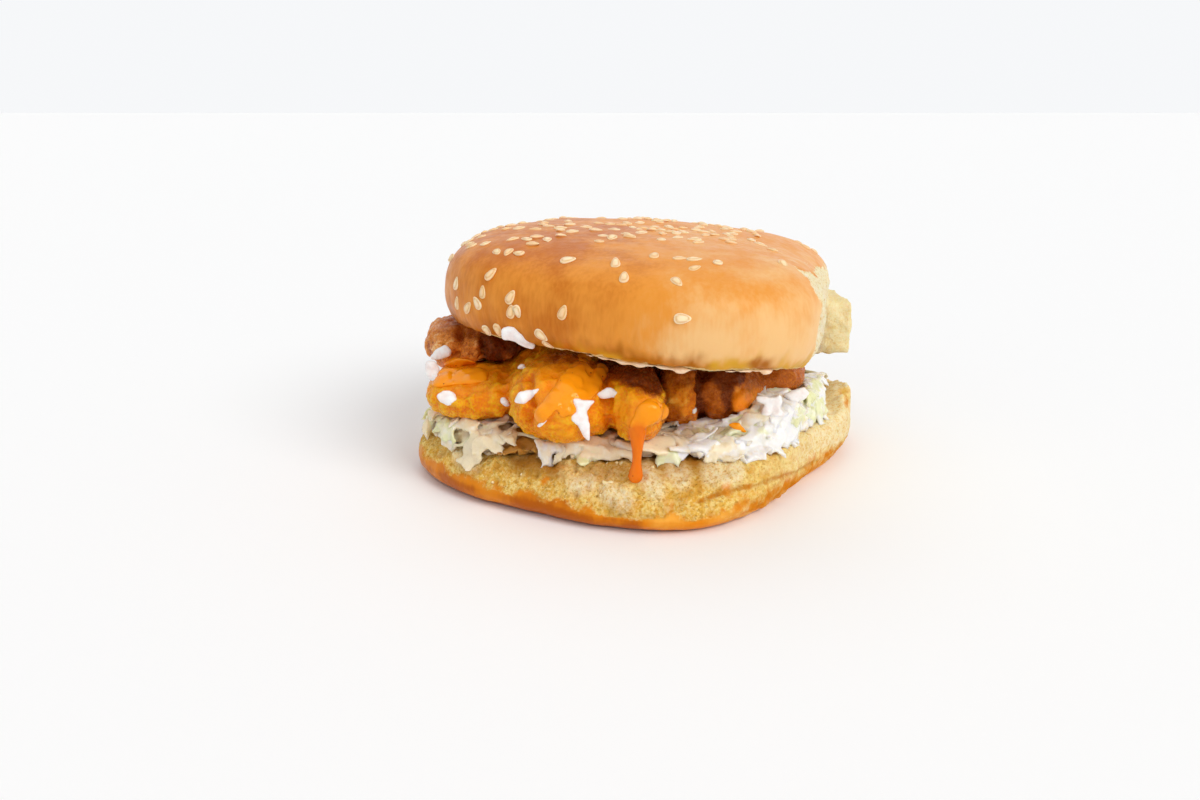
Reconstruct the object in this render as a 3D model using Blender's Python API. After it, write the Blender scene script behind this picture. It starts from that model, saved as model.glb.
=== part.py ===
"""Aloo tikki burger: a sesame bun sliced in two, with shredded cabbage and three lumpy
battered tikki pieces between the halves.

Frame: metres, +Z up. The origin is on the table under the middle of the burger, and -Y is the
side that shows most of the filling. The pieces only rest on each other and make one body.
"""

import math

import bmesh
import bpy
from mathutils import Matrix, Vector, noise

MM = 0.001

# Clearance between pieces that touch.
GAP = 0.35 * MM

# Fineness of the lofted pieces: points round each ring, and rings on each rounded edge and dome.
SEGMENTS = 72
EDGE_RINGS = 5
DOME_RINGS = 9

# A plan outline is a rounded square: a mean radius and waves round it, each (count, share of the
# mean radius, angle of a crest in degrees). A side is (middle, half width, fade) in degrees. A
# waver is how far a surface strays from its even form, and over what length.

# Lower half of the bun. Most of its side has a low crust rim with torn crumb sloping up from it,
# and it is upright where it grew against the next bun.
HEEL_CENTRE = Vector((-0.3, -0.5, 0.0)) * MM
HEEL_RADIUS = 54.4 * MM
HEEL_WAVES = ((2, 0.035, 44.6), (3, 0.017, -7.9), (4, 0.065, -76.4))
HEEL_TOP = 13.6 * MM
HEEL_EDGE_RUN = 5.0 * MM
HEEL_EDGE_SHARE = 0.6
HEEL_RIM_INSET = 0.8 * MM
HEEL_RIM_LOW = 5.4 * MM
HEEL_RIM_TILT = 1.8 * MM
HEEL_RIM_HIGH = 12.6 * MM
HEEL_SLOPE_RUN = 9.0 * MM
HEEL_UPRIGHT_SIDE = (-15.0, 34.0, 32.0)
HEEL_UPRIGHT_RUN = 0.2
HEEL_WAVER = (0.7 * MM, 13.0 * MM)

# Upper half of the bun, thickest at the waist and leaning down towards +X.
TOP_CENTRE = Vector((1.3, 0.7, 35.1)) * MM
TOP_RADIUS = 52.3 * MM
TOP_WAVES = ((2, 0.058, 87.0), (3, 0.036, 50.0), (4, 0.053, -64.0))
TOP_EDGE_RUN = 5.0 * MM
TOP_WAIST = 7.6 * MM
TOP_DOME = 16.2 * MM
TOP_SQUARENESS = 3.4
TOP_LEAN = (-1.0, 3.0)
TOP_SAG = 2.4 * MM
TOP_SAG_SIDE = (-35.0, 9.0, 25.0)
TOP_WAVER = (0.6 * MM, 24.0 * MM)

# Flap of crumb on the upper half's side, where the next bun of the batch was pulled away.
FLAP_SIZE = Vector((17.0, 21.0, 15.6)) * MM
FLAP_CENTRE = Vector((49.0, 15.5, 31.6)) * MM
FLAP_CUTS = 4
FLAP_SOFTNESS = 0.35
FLAP_WAVER = (0.10, 6.0 * MM)

# Shredded cabbage on the lower half: a thin layer at the front, a heap towards +X.
CABBAGE_RADIUS = 52.0 * MM
CABBAGE_FLOOR = 7.0 * MM
CABBAGE_TOP = 16.6 * MM
CABBAGE_EDGE_RUN = 5.0 * MM
CABBAGE_HEAP = 6.4 * MM
CABBAGE_HEAP_SIDE = (-24.0, 14.0, 36.0)
CABBAGE_HEAP_FOOT = 0.4
CABBAGE_BARE = 6.5 * MM
CABBAGE_BARE_SIDE = (-88.0, 14.0, 32.0)
CABBAGE_WAVER = (2.2 * MM, 8.0 * MM)

# Tikki pieces in mm: each lobe is its centre, half sizes and turn about Z in degrees.
TIKKI_FRONT = (
    ((-37.0, -19.0, 21.8), (15.5, 16.0, 6.3), 12.0),
    ((-18.0, -32.5, 24.6), (13.6, 19.5, 10.0), -8.0),
    ((-2.6, -37.5, 24.8), (6.9, 15.5, 9.0), 6.0),
    ((-15.0, -14.0, 25.5), (19.0, 17.0, 8.2), 0.0),
)
TIKKI_LEFT = (
    ((-39.5, -5.5, 31.0), (15.6, 13.5, 6.9), 10.0),
    ((-36.0, 13.0, 29.0), (15.5, 16.0, 9.4), 0.0),
    ((-27.0, 31.0, 26.6), (16.0, 13.5, 8.8), 35.0),
)
TIKKI_RIGHT = (
    ((8.0, -23.5, 24.4), (7.6, 15.5, 9.9), 4.0),
    ((19.5, -21.5, 24.2), (8.8, 14.5, 9.7), -6.0),
    ((31.0, -12.0, 25.2), (10.5, 13.5, 7.0), 0.0),
    ((20.0, 9.0, 25.4), (21.0, 19.0, 8.4), 0.0),
    ((9.0, 31.0, 25.6), (19.0, 15.0, 8.8), -12.0),
)
TIKKI_WAVER = (1.4 * MM, 5.0 * MM)
TIKKI_VOXEL = 2.3 * MM
TIKKI_KEEP = 0.30

# Materials: colour and roughness.
HEEL_CRUST = ((0.60, 0.29, 0.09), 0.5)
TOP_CRUST = ((0.66, 0.30, 0.085), 0.35)
CRUMB = ((0.80, 0.62, 0.34), 0.9)
SAUCED_BATTER = ((0.80, 0.28, 0.02), 0.3)
DARK_BATTER = ((0.32, 0.075, 0.015), 0.4)
BROWN_BATTER = ((0.40, 0.12, 0.02), 0.4)
CABBAGE = ((0.84, 0.84, 0.68), 0.35)


def clear_scene():
    for old in list(bpy.data.objects):
        bpy.data.objects.remove(old)


def food(name, finish):
    """A plain dielectric material."""
    colour, roughness = finish
    material = bpy.data.materials.new(name)
    material.use_nodes = True
    shader = material.node_tree.nodes["Principled BSDF"]
    shader.inputs["Base Color"].default_value = (*colour, 1.0)
    shader.inputs["Roughness"].default_value = roughness
    shader.inputs["Metallic"].default_value = 0.0
    return material


def add_object(name, bm, material):
    """A new object from a bmesh, shaded smooth."""
    mesh = bpy.data.meshes.new(name)
    bm.to_mesh(mesh)
    bm.free()
    mesh.materials.append(material)
    mesh.shade_smooth()
    obj = bpy.data.objects.new(name, mesh)
    bpy.context.scene.collection.objects.link(obj)
    return obj


def stray(point, waver):
    """Smooth unevenness at a point, the same on each run."""
    height, length = waver
    return height * noise.noise(Vector(point) / length)


def outline(angle, mean, waves):
    """Radius of a bun's plan at an angle in radians."""
    return mean * (1.0 + sum(
        share * math.cos(count * (angle - math.radians(crest))) for count, share, crest in waves
    ))


def facing(angle, side):
    """1 on a side of the outline, smoothly down to 0 over its fade."""
    middle, half_width, fade = side
    off = abs(math.remainder(math.degrees(angle) - middle, 360.0))
    share = min(1.0, max(0.0, (half_width + fade - off) / fade))
    return share * share * (3.0 - 2.0 * share)


def rounding(rings, sweep):
    """(distance in, height) of each ring round an edge, as shares, from the foot upwards."""
    turns = (math.radians(sweep) * step / (rings - 1) for step in range(rings))
    return [(1.0 - math.sin(turn), 1.0 - math.cos(turn)) for turn in turns]


def loft(name, rings, material):
    """A closed solid of rings, each a function from an angle to (radius, height)."""
    bm = bmesh.new()
    loops = []
    for ring in rings:
        loop = []
        for step in range(SEGMENTS):
            angle = math.tau * step / SEGMENTS
            radius, height = ring(angle)
            loop.append(bm.verts.new((radius * math.cos(angle), radius * math.sin(angle), height)))
        loops.append(loop)
    for low, high in zip(loops, loops[1:]):
        for i in range(SEGMENTS):
            j = (i + 1) % SEGMENTS
            bm.faces.new((low[i], low[j], high[j], high[i]))
    for loop in (loops[0], loops[-1]):
        middle = bm.verts.new(sum((v.co for v in loop), Vector()) / SEGMENTS)
        for i in range(SEGMENTS):
            bm.faces.new((loop[i], loop[(i + 1) % SEGMENTS], middle))
    bmesh.ops.recalc_face_normals(bm, faces=bm.faces)
    return add_object(name, bm, material)


def hide(obj):
    """Keep a helper out of the model."""
    obj.hide_render = True
    obj.display_type = "WIRE"


def fattened(obj):
    """A hidden copy of the object, larger all round by the clearance."""
    cutter = obj.copy()
    cutter.name = obj.name + "_cutter"
    bpy.context.scene.collection.objects.link(cutter)
    swell = cutter.modifiers.new("Swell", "DISPLACE")
    swell.mid_level = 0.0
    swell.strength = GAP
    hide(cutter)
    return cutter


def combine(obj, other, operation):
    boolean = obj.modifiers.new(operation.title(), "BOOLEAN")
    boolean.operation = operation
    boolean.solver = "EXACT"
    boolean.object = other


def bun_heel(crust):
    """Lower half: flat base, rounded crust edge, crumb slope and cut face."""

    def ring(inset, height, slope=0.0, share=1.0):
        def at(angle):
            upright = facing(angle, HEEL_UPRIGHT_SIDE)
            low = HEEL_RIM_LOW - HEEL_RIM_TILT * math.cos(angle)
            rim = low + (HEEL_RIM_HIGH - low) * upright
            run = HEEL_SLOPE_RUN * (1.0 + (HEEL_UPRIGHT_RUN - 1.0) * upright)
            radius = (outline(angle, HEEL_RADIUS, HEEL_WAVES) - inset - slope * run) * share
            level = height * rim + math.sqrt(slope) * (HEEL_TOP - rim)
            here = (radius * math.cos(angle), radius * math.sin(angle), level)
            bump = stray(here, HEEL_WAVER)
            return radius + 0.6 * bump * min(1.0, level / rim), level + bump * slope

        return at

    rings = [
        ring(HEEL_EDGE_RUN * inward, HEEL_EDGE_SHARE * upward)
        for inward, upward in rounding(EDGE_RINGS, 90.0)
    ]
    rings.append(ring(HEEL_RIM_INSET, 1.0))
    rings.append(ring(HEEL_RIM_INSET, 1.0, slope=0.35))
    rings.append(ring(HEEL_RIM_INSET, 1.0, slope=1.0))
    rings.append(ring(HEEL_RIM_INSET, 1.0, slope=1.0, share=0.5))
    heel = loft("bun_heel", rings, crust)
    heel.location = HEEL_CENTRE
    return heel


def crumb_flap(crumb):
    """Block of torn crumb with soft, uneven faces."""
    bm = bmesh.new()
    bmesh.ops.create_cube(bm, size=1.0, matrix=Matrix.Diagonal((*FLAP_SIZE, 1.0)))
    bmesh.ops.subdivide_edges(bm, edges=bm.edges[:], cuts=FLAP_CUTS, use_grid_fill=True)
    bmesh.ops.smooth_vert(
        bm, verts=bm.verts, factor=FLAP_SOFTNESS, use_axis_x=True, use_axis_y=True, use_axis_z=True
    )
    for vert in bm.verts:
        vert.co *= 1.0 + stray(vert.co + FLAP_CENTRE, FLAP_WAVER)
    flap = add_object("crumb_flap", bm, crumb)
    flap.location = FLAP_CENTRE
    hide(flap)
    return flap


def bun_top(crust, crumb):
    """Upper half: a cut face, a rounded lower edge and a square-shouldered dome."""

    def ring(inset, height, share=1.0, sag=0.0):
        def at(angle):
            radius = (outline(angle, TOP_RADIUS, TOP_WAVES) - inset) * share
            here = (radius * math.cos(angle), radius * math.sin(angle), height)
            bump = stray(here, TOP_WAVER)
            drop = TOP_SAG * sag * facing(angle, TOP_SAG_SIDE)
            return radius + bump * share, height + bump * (1.0 - 0.5 * share) - drop

        return at

    rings = [ring(TOP_EDGE_RUN, 0.0, share=0.5)]
    for inward, upward in rounding(EDGE_RINGS, 90.0):
        rings.append(ring(TOP_EDGE_RUN * inward, TOP_WAIST * upward, sag=1.0 - upward))
    power = 2.0 / TOP_SQUARENESS
    for step in range(1, DOME_RINGS):
        turn = math.pi / 2 * (step / DOME_RINGS) ** 1.25
        height = TOP_WAIST + TOP_DOME * math.sin(turn) ** power
        rings.append(ring(0.0, height, share=math.cos(turn) ** power))
    top = loft("bun_top", rings, crust)
    top.location = TOP_CENTRE
    top.rotation_euler = (*(math.radians(lean) for lean in TOP_LEAN), 0.0)
    combine(top, crumb_flap(crumb), "UNION")
    return top


def shredded_cabbage(leaf):
    """The heap of shreds as one solid out to its uneven outline."""

    def ring(inset, height, heap, share=1.0):
        def at(angle):
            bare = CABBAGE_BARE * facing(angle, CABBAGE_BARE_SIDE)
            radius = (outline(angle, CABBAGE_RADIUS, HEEL_WAVES) - inset - bare) * share
            here = (radius * math.cos(angle), radius * math.sin(angle), height)
            bump = stray(here, CABBAGE_WAVER)
            level = height + heap * CABBAGE_HEAP * facing(angle, CABBAGE_HEAP_SIDE)
            return radius + 0.7 * bump * share, level + bump * 0.5 * heap

        return at

    rings = []
    depth = CABBAGE_TOP - CABBAGE_FLOOR
    for inward, upward in rounding(EDGE_RINGS, 180.0):
        rise = upward / 2.0
        rings.append(ring(CABBAGE_EDGE_RUN * inward, CABBAGE_FLOOR + depth * rise, rise))
    rings.append(ring(CABBAGE_EDGE_RUN, CABBAGE_TOP, 1.0, share=0.65))
    rings.append(ring(CABBAGE_EDGE_RUN, CABBAGE_TOP, CABBAGE_HEAP_FOOT, share=0.3))
    cabbage = loft("shredded_cabbage", rings, leaf)
    cabbage.location = HEEL_CENTRE
    return cabbage


def tikki(name, lobes, batter):
    """A lumpy battered piece: its lobes run together under a coarse bumpy skin."""
    bm = bmesh.new()
    for centre, radii, turn in lobes:
        place = (
            Matrix.Translation(Vector(centre) * MM)
            @ Matrix.Rotation(math.radians(turn), 4, "Z")
            @ Matrix.Diagonal((*(Vector(radii) * MM), 1.0))
        )
        bmesh.ops.create_icosphere(bm, subdivisions=4, radius=1.0, matrix=place)
    obj = add_object(name, bm, batter)
    melt = obj.modifiers.new("Melt", "REMESH")
    melt.mode = "VOXEL"
    melt.voxel_size = TIKKI_VOXEL
    settle = obj.modifiers.new("Settle", "SMOOTH")
    settle.factor = 0.5
    settle.iterations = 3
    height, length = TIKKI_WAVER
    lumps = bpy.data.textures.new(name + "_lumps", "CLOUDS")
    lumps.noise_scale = length
    lumps.noise_depth = 1
    skin = obj.modifiers.new("Skin", "DISPLACE")
    skin.texture = lumps
    skin.texture_coords = "GLOBAL"
    skin.strength = height
    skin.mid_level = 0.5
    lighten = obj.modifiers.new("Lighten", "DECIMATE")
    lighten.ratio = TIKKI_KEEP
    return obj


def main():
    clear_scene()
    heel = bun_heel(food("heel_crust", HEEL_CRUST))
    front = tikki("tikki_front", TIKKI_FRONT, food("sauced_batter", SAUCED_BATTER))
    left = tikki("tikki_left", TIKKI_LEFT, food("dark_batter", DARK_BATTER))
    right = tikki("tikki_right", TIKKI_RIGHT, food("brown_batter", BROWN_BATTER))
    cabbage = shredded_cabbage(food("cabbage", CABBAGE))
    top = bun_top(food("top_crust", TOP_CRUST), food("bread_crumb", CRUMB))

    # Each piece is pressed into the ones above and below it.
    front_print = fattened(front)
    combine(left, front_print, "DIFFERENCE")
    left_print = fattened(left)
    combine(right, front_print, "DIFFERENCE")
    combine(right, left_print, "DIFFERENCE")
    right_print = fattened(right)
    for tikki_print in (front_print, left_print, right_print):
        combine(cabbage, tikki_print, "DIFFERENCE")
        combine(top, tikki_print, "DIFFERENCE")
    combine(cabbage, fattened(heel), "DIFFERENCE")
    combine(top, fattened(cabbage), "DIFFERENCE")


main()
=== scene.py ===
"""Looks of the aloo tikki burger: crust, crumb, batter, sauce, cabbage and seeds.

Every CAD piece that shows gets a finer mesh of the same form, worked out from its own surface by
remeshing and noise. What is too small for CAD is added on top of it: seeds, cabbage shreds, white
chips, sauce and crumbs. Lengths are in millimetres here and in metres in the meshes and the search
trees. +Z is up, and the camera looks along +Y.
"""

import math

import bpy
import numpy as np
from mathutils import Matrix, Vector
from mathutils.bvhtree import BVHTree


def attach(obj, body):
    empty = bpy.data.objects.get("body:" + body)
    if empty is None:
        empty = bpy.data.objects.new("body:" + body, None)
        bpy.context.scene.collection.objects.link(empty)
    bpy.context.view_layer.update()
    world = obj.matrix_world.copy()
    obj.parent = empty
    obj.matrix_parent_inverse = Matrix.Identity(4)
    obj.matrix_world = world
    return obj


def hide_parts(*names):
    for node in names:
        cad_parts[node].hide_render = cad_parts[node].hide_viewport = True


MM = 0.001

# Camera: place, downward pitch in degrees, lens and sensor width.
CAMERA_PLACE = (-10.5, -240, 88)
CAMERA_PITCH = 17.3
CAMERA_LENS = 28.1
SENSOR_WIDTH = 36

# Studio: a pale backdrop, a little fill from the room and wide soft lamps far away. A lamp is
# (name, direction towards it, strength, angle in degrees across which it shines).
BACKDROP_COLOUR = (0.925, 0.935, 0.95)
FILL_COLOUR = (0.97, 0.985, 1.0)
FILL_STRENGTH = 0.46
LAMPS = (
    ("key", (0.60, -0.55, 0.66), 1.50, 34),
    ("overhead", (-0.12, 0.22, 1.00), 0.60, 75),
    ("front", (-0.62, -0.74, 0.26), 0.26, 60),
    ("glint", (0.10, -0.85, 0.60), 0.22, 4.5),
)
LAMP_COLOUR = (1.0, 0.99, 0.97)
FLOOR_SIZE = 40000
FLOOR_COLOUR = (0.97, 0.97, 0.975)

# Fineness of the remeshed pieces.
TOP_VOXEL = 0.62
HEEL_VOXEL = 0.60
TIKKI_VOXEL = 0.46
CORE_VOXEL = 1.1
SHRED_VOXEL = 0.38
LEAF_VOXEL = 0.42
SAUCE_VOXEL = 0.32
CHIP_VOXEL = 0.26
CRUMB_VOXEL = 0.28

# The middle of the burger in x and y.
MIDDLE = (0, 0)

# Sides of the burger by where they face: (middle, half width, fade) in degrees about Z.
TORN_SIDE = (-3, 44, 3)
# The paler and darker sides are partly the crust's own bake and partly painted light and painted shade.
PALER_LIT_SIDE = (-32, 30, 62)
PALER_LIT_HEEL_SIDE = (-20, 30, 50)
DARKER_SHADED_SIDE = (-160, 40, 50)
UPRIGHT_SIDE = (-22, 38, 18)
FEW_SEEDS_SIDE = (-62, 66, 10)
NO_SEEDS_SIDE = (15, 32, 10)
CROWDED_SIDE = (-30, 28, 20)
STANDING_SIDE = (-30, 34, 20)
LOW_SIDE = (12, 34, 18)

# How high the torn side of the upper half reaches above its lower edge, and the flap that sticks
# out of it: how far out it starts, how high it reaches, and its middle and half width along Y.
TORN_TOP = 21
FLAP_START = 47.5
FLAP_TOP = 39
FLAP_MIDDLE = 15.5
FLAP_HALF_WIDTH = 10.5

# Sesame seeds: their size, usual spacing, how many spots are tried and the chance of each.
SEED_LENGTH = 3.3
SEED_WIDTH = 2.05
SEED_THICKNESS = 0.95
SEED_SPACING = 3.0
SEED_TRIES = 9000
SEED_CHANCE = 0.22

# Seeds that lie alone on the side towards the camera: x, z and turn in degrees.
LONE_SEEDS = (
    (-17.4, 56.6, 5), (-7.2, 56.6, 88), (-5.5, 54.6, 85), (1.2, 57.7, 75), (6.6, 57.4, 10),
    (9.3, 56.2, 35), (14.5, 56.8, 80), (5.2, 54.2, -60), (6.1, 47.6, 0), (29.8, 55.3, -70),
    (-29.9, 48.8, 55), (-30, 45.6, 80), (-28.5, 45.8, -70), (-18.3, 46.9, 70),
    (-36.7, 48.9, 85), (-34.6, 52.9, 35), (-23.2, 41.1, -30), (-36.1, 39.9, -60),
    (-33.3, 40.7, -75), (-43.9, 49.2, 80), (-43.8, 44.7, 80), (-40.6, 44.6, 50),
    (-21.8, 38.8, -15),
)

# White chips of cabbage in dressing, each an outline of x, z as seen along +Y.
CHIP_THICKNESS = 1.2
CHIP_GRAIN = 0.33
CHIP_BEND = 1.3
CHIPS = (
    ((-32.4, 41.6), (-29.6, 42.3), (-27.6, 40.6), (-24.6, 38), (-25.2, 36.8), (-27.4, 37.3),
     (-29.8, 38.8), (-32.3, 38.9)),
    ((-52.8, 29), (-50.6, 31.7), (-48.2, 32.8), (-46.8, 31.3), (-47.4, 29.7), (-50.8, 28.7)),
    ((-52.9, 26.6), (-52.7, 29.6), (-50.4, 30), (-49.3, 28), (-49.5, 25.2), (-51.6, 24.8)),
    ((-48.7, 24.2), (-46.6, 25.4), (-44.6, 24.9), (-43.5, 23.1), (-45.8, 21.5), (-48.2, 22.6)),
    ((-33.3, 24.7), (-31.8, 23.6), (-31.2, 22.2), (-32.5, 21.9), (-33.7, 23.2)),
    ((-29.3, 26.8), (-28.3, 29.2), (-25.2, 29.8), (-22.9, 30.6), (-24.6, 28.6), (-26.7, 26.7)),
    ((-16.4, 29.2), (-13.8, 28.8), (-11.2, 28.8), (-12.5, 27.4), (-13.3, 26.4), (-12.6, 22.6),
     (-12.7, 19.4), (-13.9, 20.4), (-15.3, 23.2), (-16.7, 24.4), (-19.3, 26.3), (-15.6, 26)),
    ((-11.4, 28.6), (-8.7, 30.4), (-6, 29.1), (-6.4, 28), (-10.3, 27.5)),
    ((-16.7, 32), (-15.6, 33), (-14.7, 32.4), (-15.4, 31.5)),
    ((-24.2, 23.1), (-22.8, 24.5), (-21.6, 25.3), (-22, 23.9), (-23.6, 22.6)),
    ((-29.8, 31), (-28.4, 32.4), (-27.2, 31.9), (-28.4, 30.8)),
    ((-43.8, 27), (-41.4, 27.8), (-38.8, 27.6), (-40.2, 26.8), (-42.6, 26.5)),
    ((10.3, 22.4), (11.4, 22.9), (11.9, 21.6), (10.8, 21)),
    ((30.5, 26), (31.4, 23.8), (30.6, 22.6), (29.2, 21.8), (27.9, 20.4), (26, 20.6),
     (26.6, 22.2), (27.4, 23.2), (25.3, 23.9), (25, 25.4), (27.7, 25.2), (29.6, 24.9)),
    ((29.3, 22.7), (30.7, 22.5), (32.2, 21), (30.3, 20.5), (28.4, 21)),
    ((32.6, 24), (34.7, 24.9), (37.3, 25.7), (38.9, 24.2), (37.4, 22.4), (34.8, 21.9),
     (33.2, 22.8)),
)

# Sauce on the filling. A run is a list of (x, z, half width) as seen along +Y.
SAUCE_THICKNESS = 0.62
SAUCE_RUNS = (
    ((-48.8, 26.2, 1.2), (-46.6, 26.9, 1.9), (-43, 27.4, 1.8), (-38.6, 27.2, 0.9)),
    ((-13.6, 33.2, 1.8), (-16.2, 32, 2.2), (-18.9, 30.2, 2.1), (-21, 28, 1.6), (-23.2, 25.6, 1)),
    ((-9.9, 31.6, 1), (-12.6, 29.8, 1.3), (-15.6, 28, 0.9), (-18.4, 26.4, 0.5)),
    ((3.4, 24.6, 0.7), (1.6, 25.8, 1.6), (-0.4, 26.6, 2.3), (-2, 25.2, 2.2), (-2.6, 23, 1.7),
     (-2.5, 20.6, 1.5)),
)

# A wedge of sauce squeezed out onto the heap, as an outline of x, z.
SAUCE_WEDGE = ((17.9, 19.7), (20.6, 20.8), (23.2, 17.7), (20.8, 18.1))
WEDGE_THICKNESS = 0.8

# Round lumps under sauce: x, z and the three half axes across, up and out.
SAUCE_LUMPS = ((-46.5, 27, 3.2, 1.4, 0.9), (-0.2, 26.4, 3, 2.6, 1.5))

# The hanging drip: x, y, z and radius. Its sauce is redder than the rest.
DRIP = (
    (-2.4, -50, 21.6, 1.9), (-2.5, -50.6, 19, 1.5), (-2.5, -50.9, 16.8, 1.15),
    (-2.6, -51.1, 14.8, 1.1), (-2.7, -51.3, 13.2, 1.5), (-2.8, -51.3, 12, 1.75),
)
RED_SAUCE = (((-2.5, 20.5, 2), (-2.8, 12, 2)),)

# Round knobs of batter: x, z and radius, and how far each stands out.
KNOBS = {"tikki_right": ((22.6, 23.1, 3, 2.3),)}

# Clefts between the lobes of each fried piece, cut in and darkened with painted shade, and its
# recesses, darkened with painted shade only, as x, z and half width.
CLEFT_DEPTH = 1.9
CLEFTS = {
    "tikki_front": (
        ((-33.2, 28.5, 0.3), (-32.4, 24, 0.4), (-31.8, 18, 0.5)),
        ((-9.2, 31, 0.2), (-8.8, 25, 0.3), (-8, 18, 0.4)),
        ((-26.5, 31.5, 0.2), (-25.5, 27, 0.3), (-27.5, 22.5, 0.1)),
    ),
    "tikki_left": (
        ((-44.8, 35.5, 0.2), (-46, 30, 0.3)),
        ((-38.6, 33.5, 0.3), (-39.6, 28.5, 0.3)),
    ),
    "tikki_right": (((13, 32, 0.5), (13.1, 24.6, 0.6), (13.8, 15, 0.6)),),
}
RECESS_SHADES = {
    "tikki_front": (
        ((-40.5, 34.6, 1.8), (-34, 35.4, 1.8), (-28, 36, 1.8), (-21, 36.4, 1.6)),
        ((-9, 33.8, 1.3), (-3, 33.4, 1.8), (3, 32, 2.2)),
        ((5.4, 30, 0.6), (4.8, 24, 0.4), (4.4, 19, 0.2)),
    ),
    "tikki_left": (((-38, 36, 1.5), (-37, 29, 2)), ((-30, 36, 6), (-20, 34, 6))),
    "tikki_right": (
        ((3, 33, 1.4), (3.4, 27, 0.2), (3, 20, 0.1)),
        ((10.5, 32.6, 0.6), (14.6, 31, 2), (18.2, 30.2, 2.2), (21.5, 29.2, 1.2)),
        ((18.4, 28, 1), (18.2, 24, 0.6), (18.6, 20.6, 0.2)),
        ((13, 32, 0.3), (13.1, 24.6, 0.2), (13.8, 15, 0.2)),
    ),
}

# Browner stretches, which take nearly half of the deep colour.
BROWN_PATCHES = {
    "tikki_right": (
        ((15.4, 28, 1.2), (15.6, 23, 1.6), (17.4, 19, 1.6)),
        ((5, 29.6, 0.6), (11, 29.6, 0.6)),
        ((25, 29, 2.2), (31, 27.4, 3), (38, 26, 3)),
        ((21, 19.4, 0.8), (25.4, 19.4, 0.8)),
    ),
}

# How much of the deep colour the batter takes as painted shade where it touches the upper bun, and
# how far its lobes at the left end stand out beyond the CAD pieces.
UNDER_BUN_SHADE = 0.50
END_SWELL = 1.3

# Dressing that shows as an uneven white line under the upper bun: the arcs where it is, in
# degrees about Z.
DRESSING_ARCS = ((-108, -78), (-75, -58), (-54, -44), (30, 78), (112, 168))
DRESSING_RADIUS = 0.60

# Cabbage: how far the core lies inside the CAD heap, how much lower it is on its low side, and how
# many cut pieces lie on the heap and on its end.
CORE_DEPTH = 0.35
LOW_SIDE_DROP = 2.7
SHRED_COUNT = 640
END_SHRED_COUNT = 80
LEAF_COUNT = 90

# Rows and columns of each cut piece, and the share of its faces that each melted mesh keeps.
SHRED_GRID = (7, 5)
LEAF_GRID = (8, 6)
LAID_LEAF_GRID = (10, 7)
SHREDS_KEPT = 0.58
LEAVES_KEPT = 0.60

# A gap in the heap on the side towards the camera, where soaked bread shows: x, z, half width.
BARE_GAP = (((-33, 12.8, 1.3), (-26, 13.6, 1.8)),)

# Beyond this x the lower half shows bare at the near part of its end.
HEAP_END = 46.5

# Pieces of leaf laid one by one on the side towards the camera: x, z, half length and half width,
# turn in degrees, and True for a green one.
LEAVES = (
    (-50.3, 15.8, 4, 2.8, -60), (-46, 14.4, 4.2, 2.4, -35, True), (-39.5, 12, 4.8, 3.1, 78),
    (-36.4, 15, 3.8, 2.4, 15), (-31.2, 16.8, 3.2, 1.6, -22), (-34.6, 16.6, 3.6, 1.4, 5),
    (-22.6, 13.9, 3.6, 1.7, -66), (-18.6, 14.6, 3.8, 1.9, -4), (-14.4, 12.8, 2.8, 1.7, -30, True),
    (-10.6, 14, 4.6, 1.7, 6), (-5.8, 14.8, 4, 1.7, -10), (-14, 15.6, 5, 1.4, 2),
    (4.6, 16.2, 6.2, 2.7, 14), (11.5, 15.9, 4.8, 2.4, 28), (15.8, 15.4, 4.8, 2.6, 48),
    (20.2, 13.8, 5.2, 1.6, -4), (29.2, 24.4, 4.2, 1.3, 72), (33.6, 25.2, 4.4, 1.2, -48),
    (37, 24.6, 3.6, 1.2, 35), (24.5, 19.6, 4.6, 2.4, 15), (6, 18, 4.6, 2, 10),
    (11, 18.2, 4.4, 2, -14, True), (15.6, 18.2, 4.2, 2.2, 30), (19.2, 18.8, 3.6, 1.6, -60),
    (2.4, 17.4, 3, 1.6, -20), (31.5, 20.6, 4.4, 2.6, -28), (28, 17, 4.6, 2.2, 55),
    (5.6, 19.6, 4, 1.6, 4), (11.4, 19.8, 4, 1.6, -6), (16.6, 19.9, 3.2, 1.4, 14),
    (40.4, 20.8, 3.6, 2.2, 20, True), (19.6, 14.4, 4.4, 2.8, 64), (23.8, 15.4, 4.8, 3, 78),
    (28, 16.2, 4.8, 3, 70), (31.8, 17.6, 4.4, 2.8, 84), (24.6, 13.8, 4.2, 1.4, 30),
    (29.6, 14.8, 4, 1.3, -24), (34.6, 15.8, 3.8, 2.2, 62), (-42.4, 16.8, 5, 2.4, 8),
    (-37.4, 17.6, 4.6, 2, -6),
)

# The lower half's palest tufts, its crease, and its soaked stains with a painted shadow line, as
# lines of x, z and half width, the middle of a broad soaked place, and how many loose crumbs lie on it.
HEEL_TUFTS = (
    ((5.3, 12.3, 0.6), (7.4, 11.4, 0.9)), ((14, 12, 1.4), (19, 11.8, 1.4)),
    ((-9, 8.4, 0.8), (-5.6, 7.4, 1.2)), ((-0.2, 11.6, 0.8), (1.6, 9.6, 0.9)),
    ((-16, 8.8, 0.6), (-12.6, 9.6, 0.4)), ((46, 9.6, 1.6), (52, 9, 2)),
    ((-40, 9, 0.4), (-44, 9.6, 0.6)),
)
# The crease is cut into the crumb and also painted darker: painted shade in the groove.
HEEL_CREASE = (
    ((11, 7, 0.1), (14, 7.8, 0.2), (20, 8.7, 0.2), (29.5, 8.3, 0.2), (37, 6.3, 0.2), (43, 5, 0.1)),
)
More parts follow.
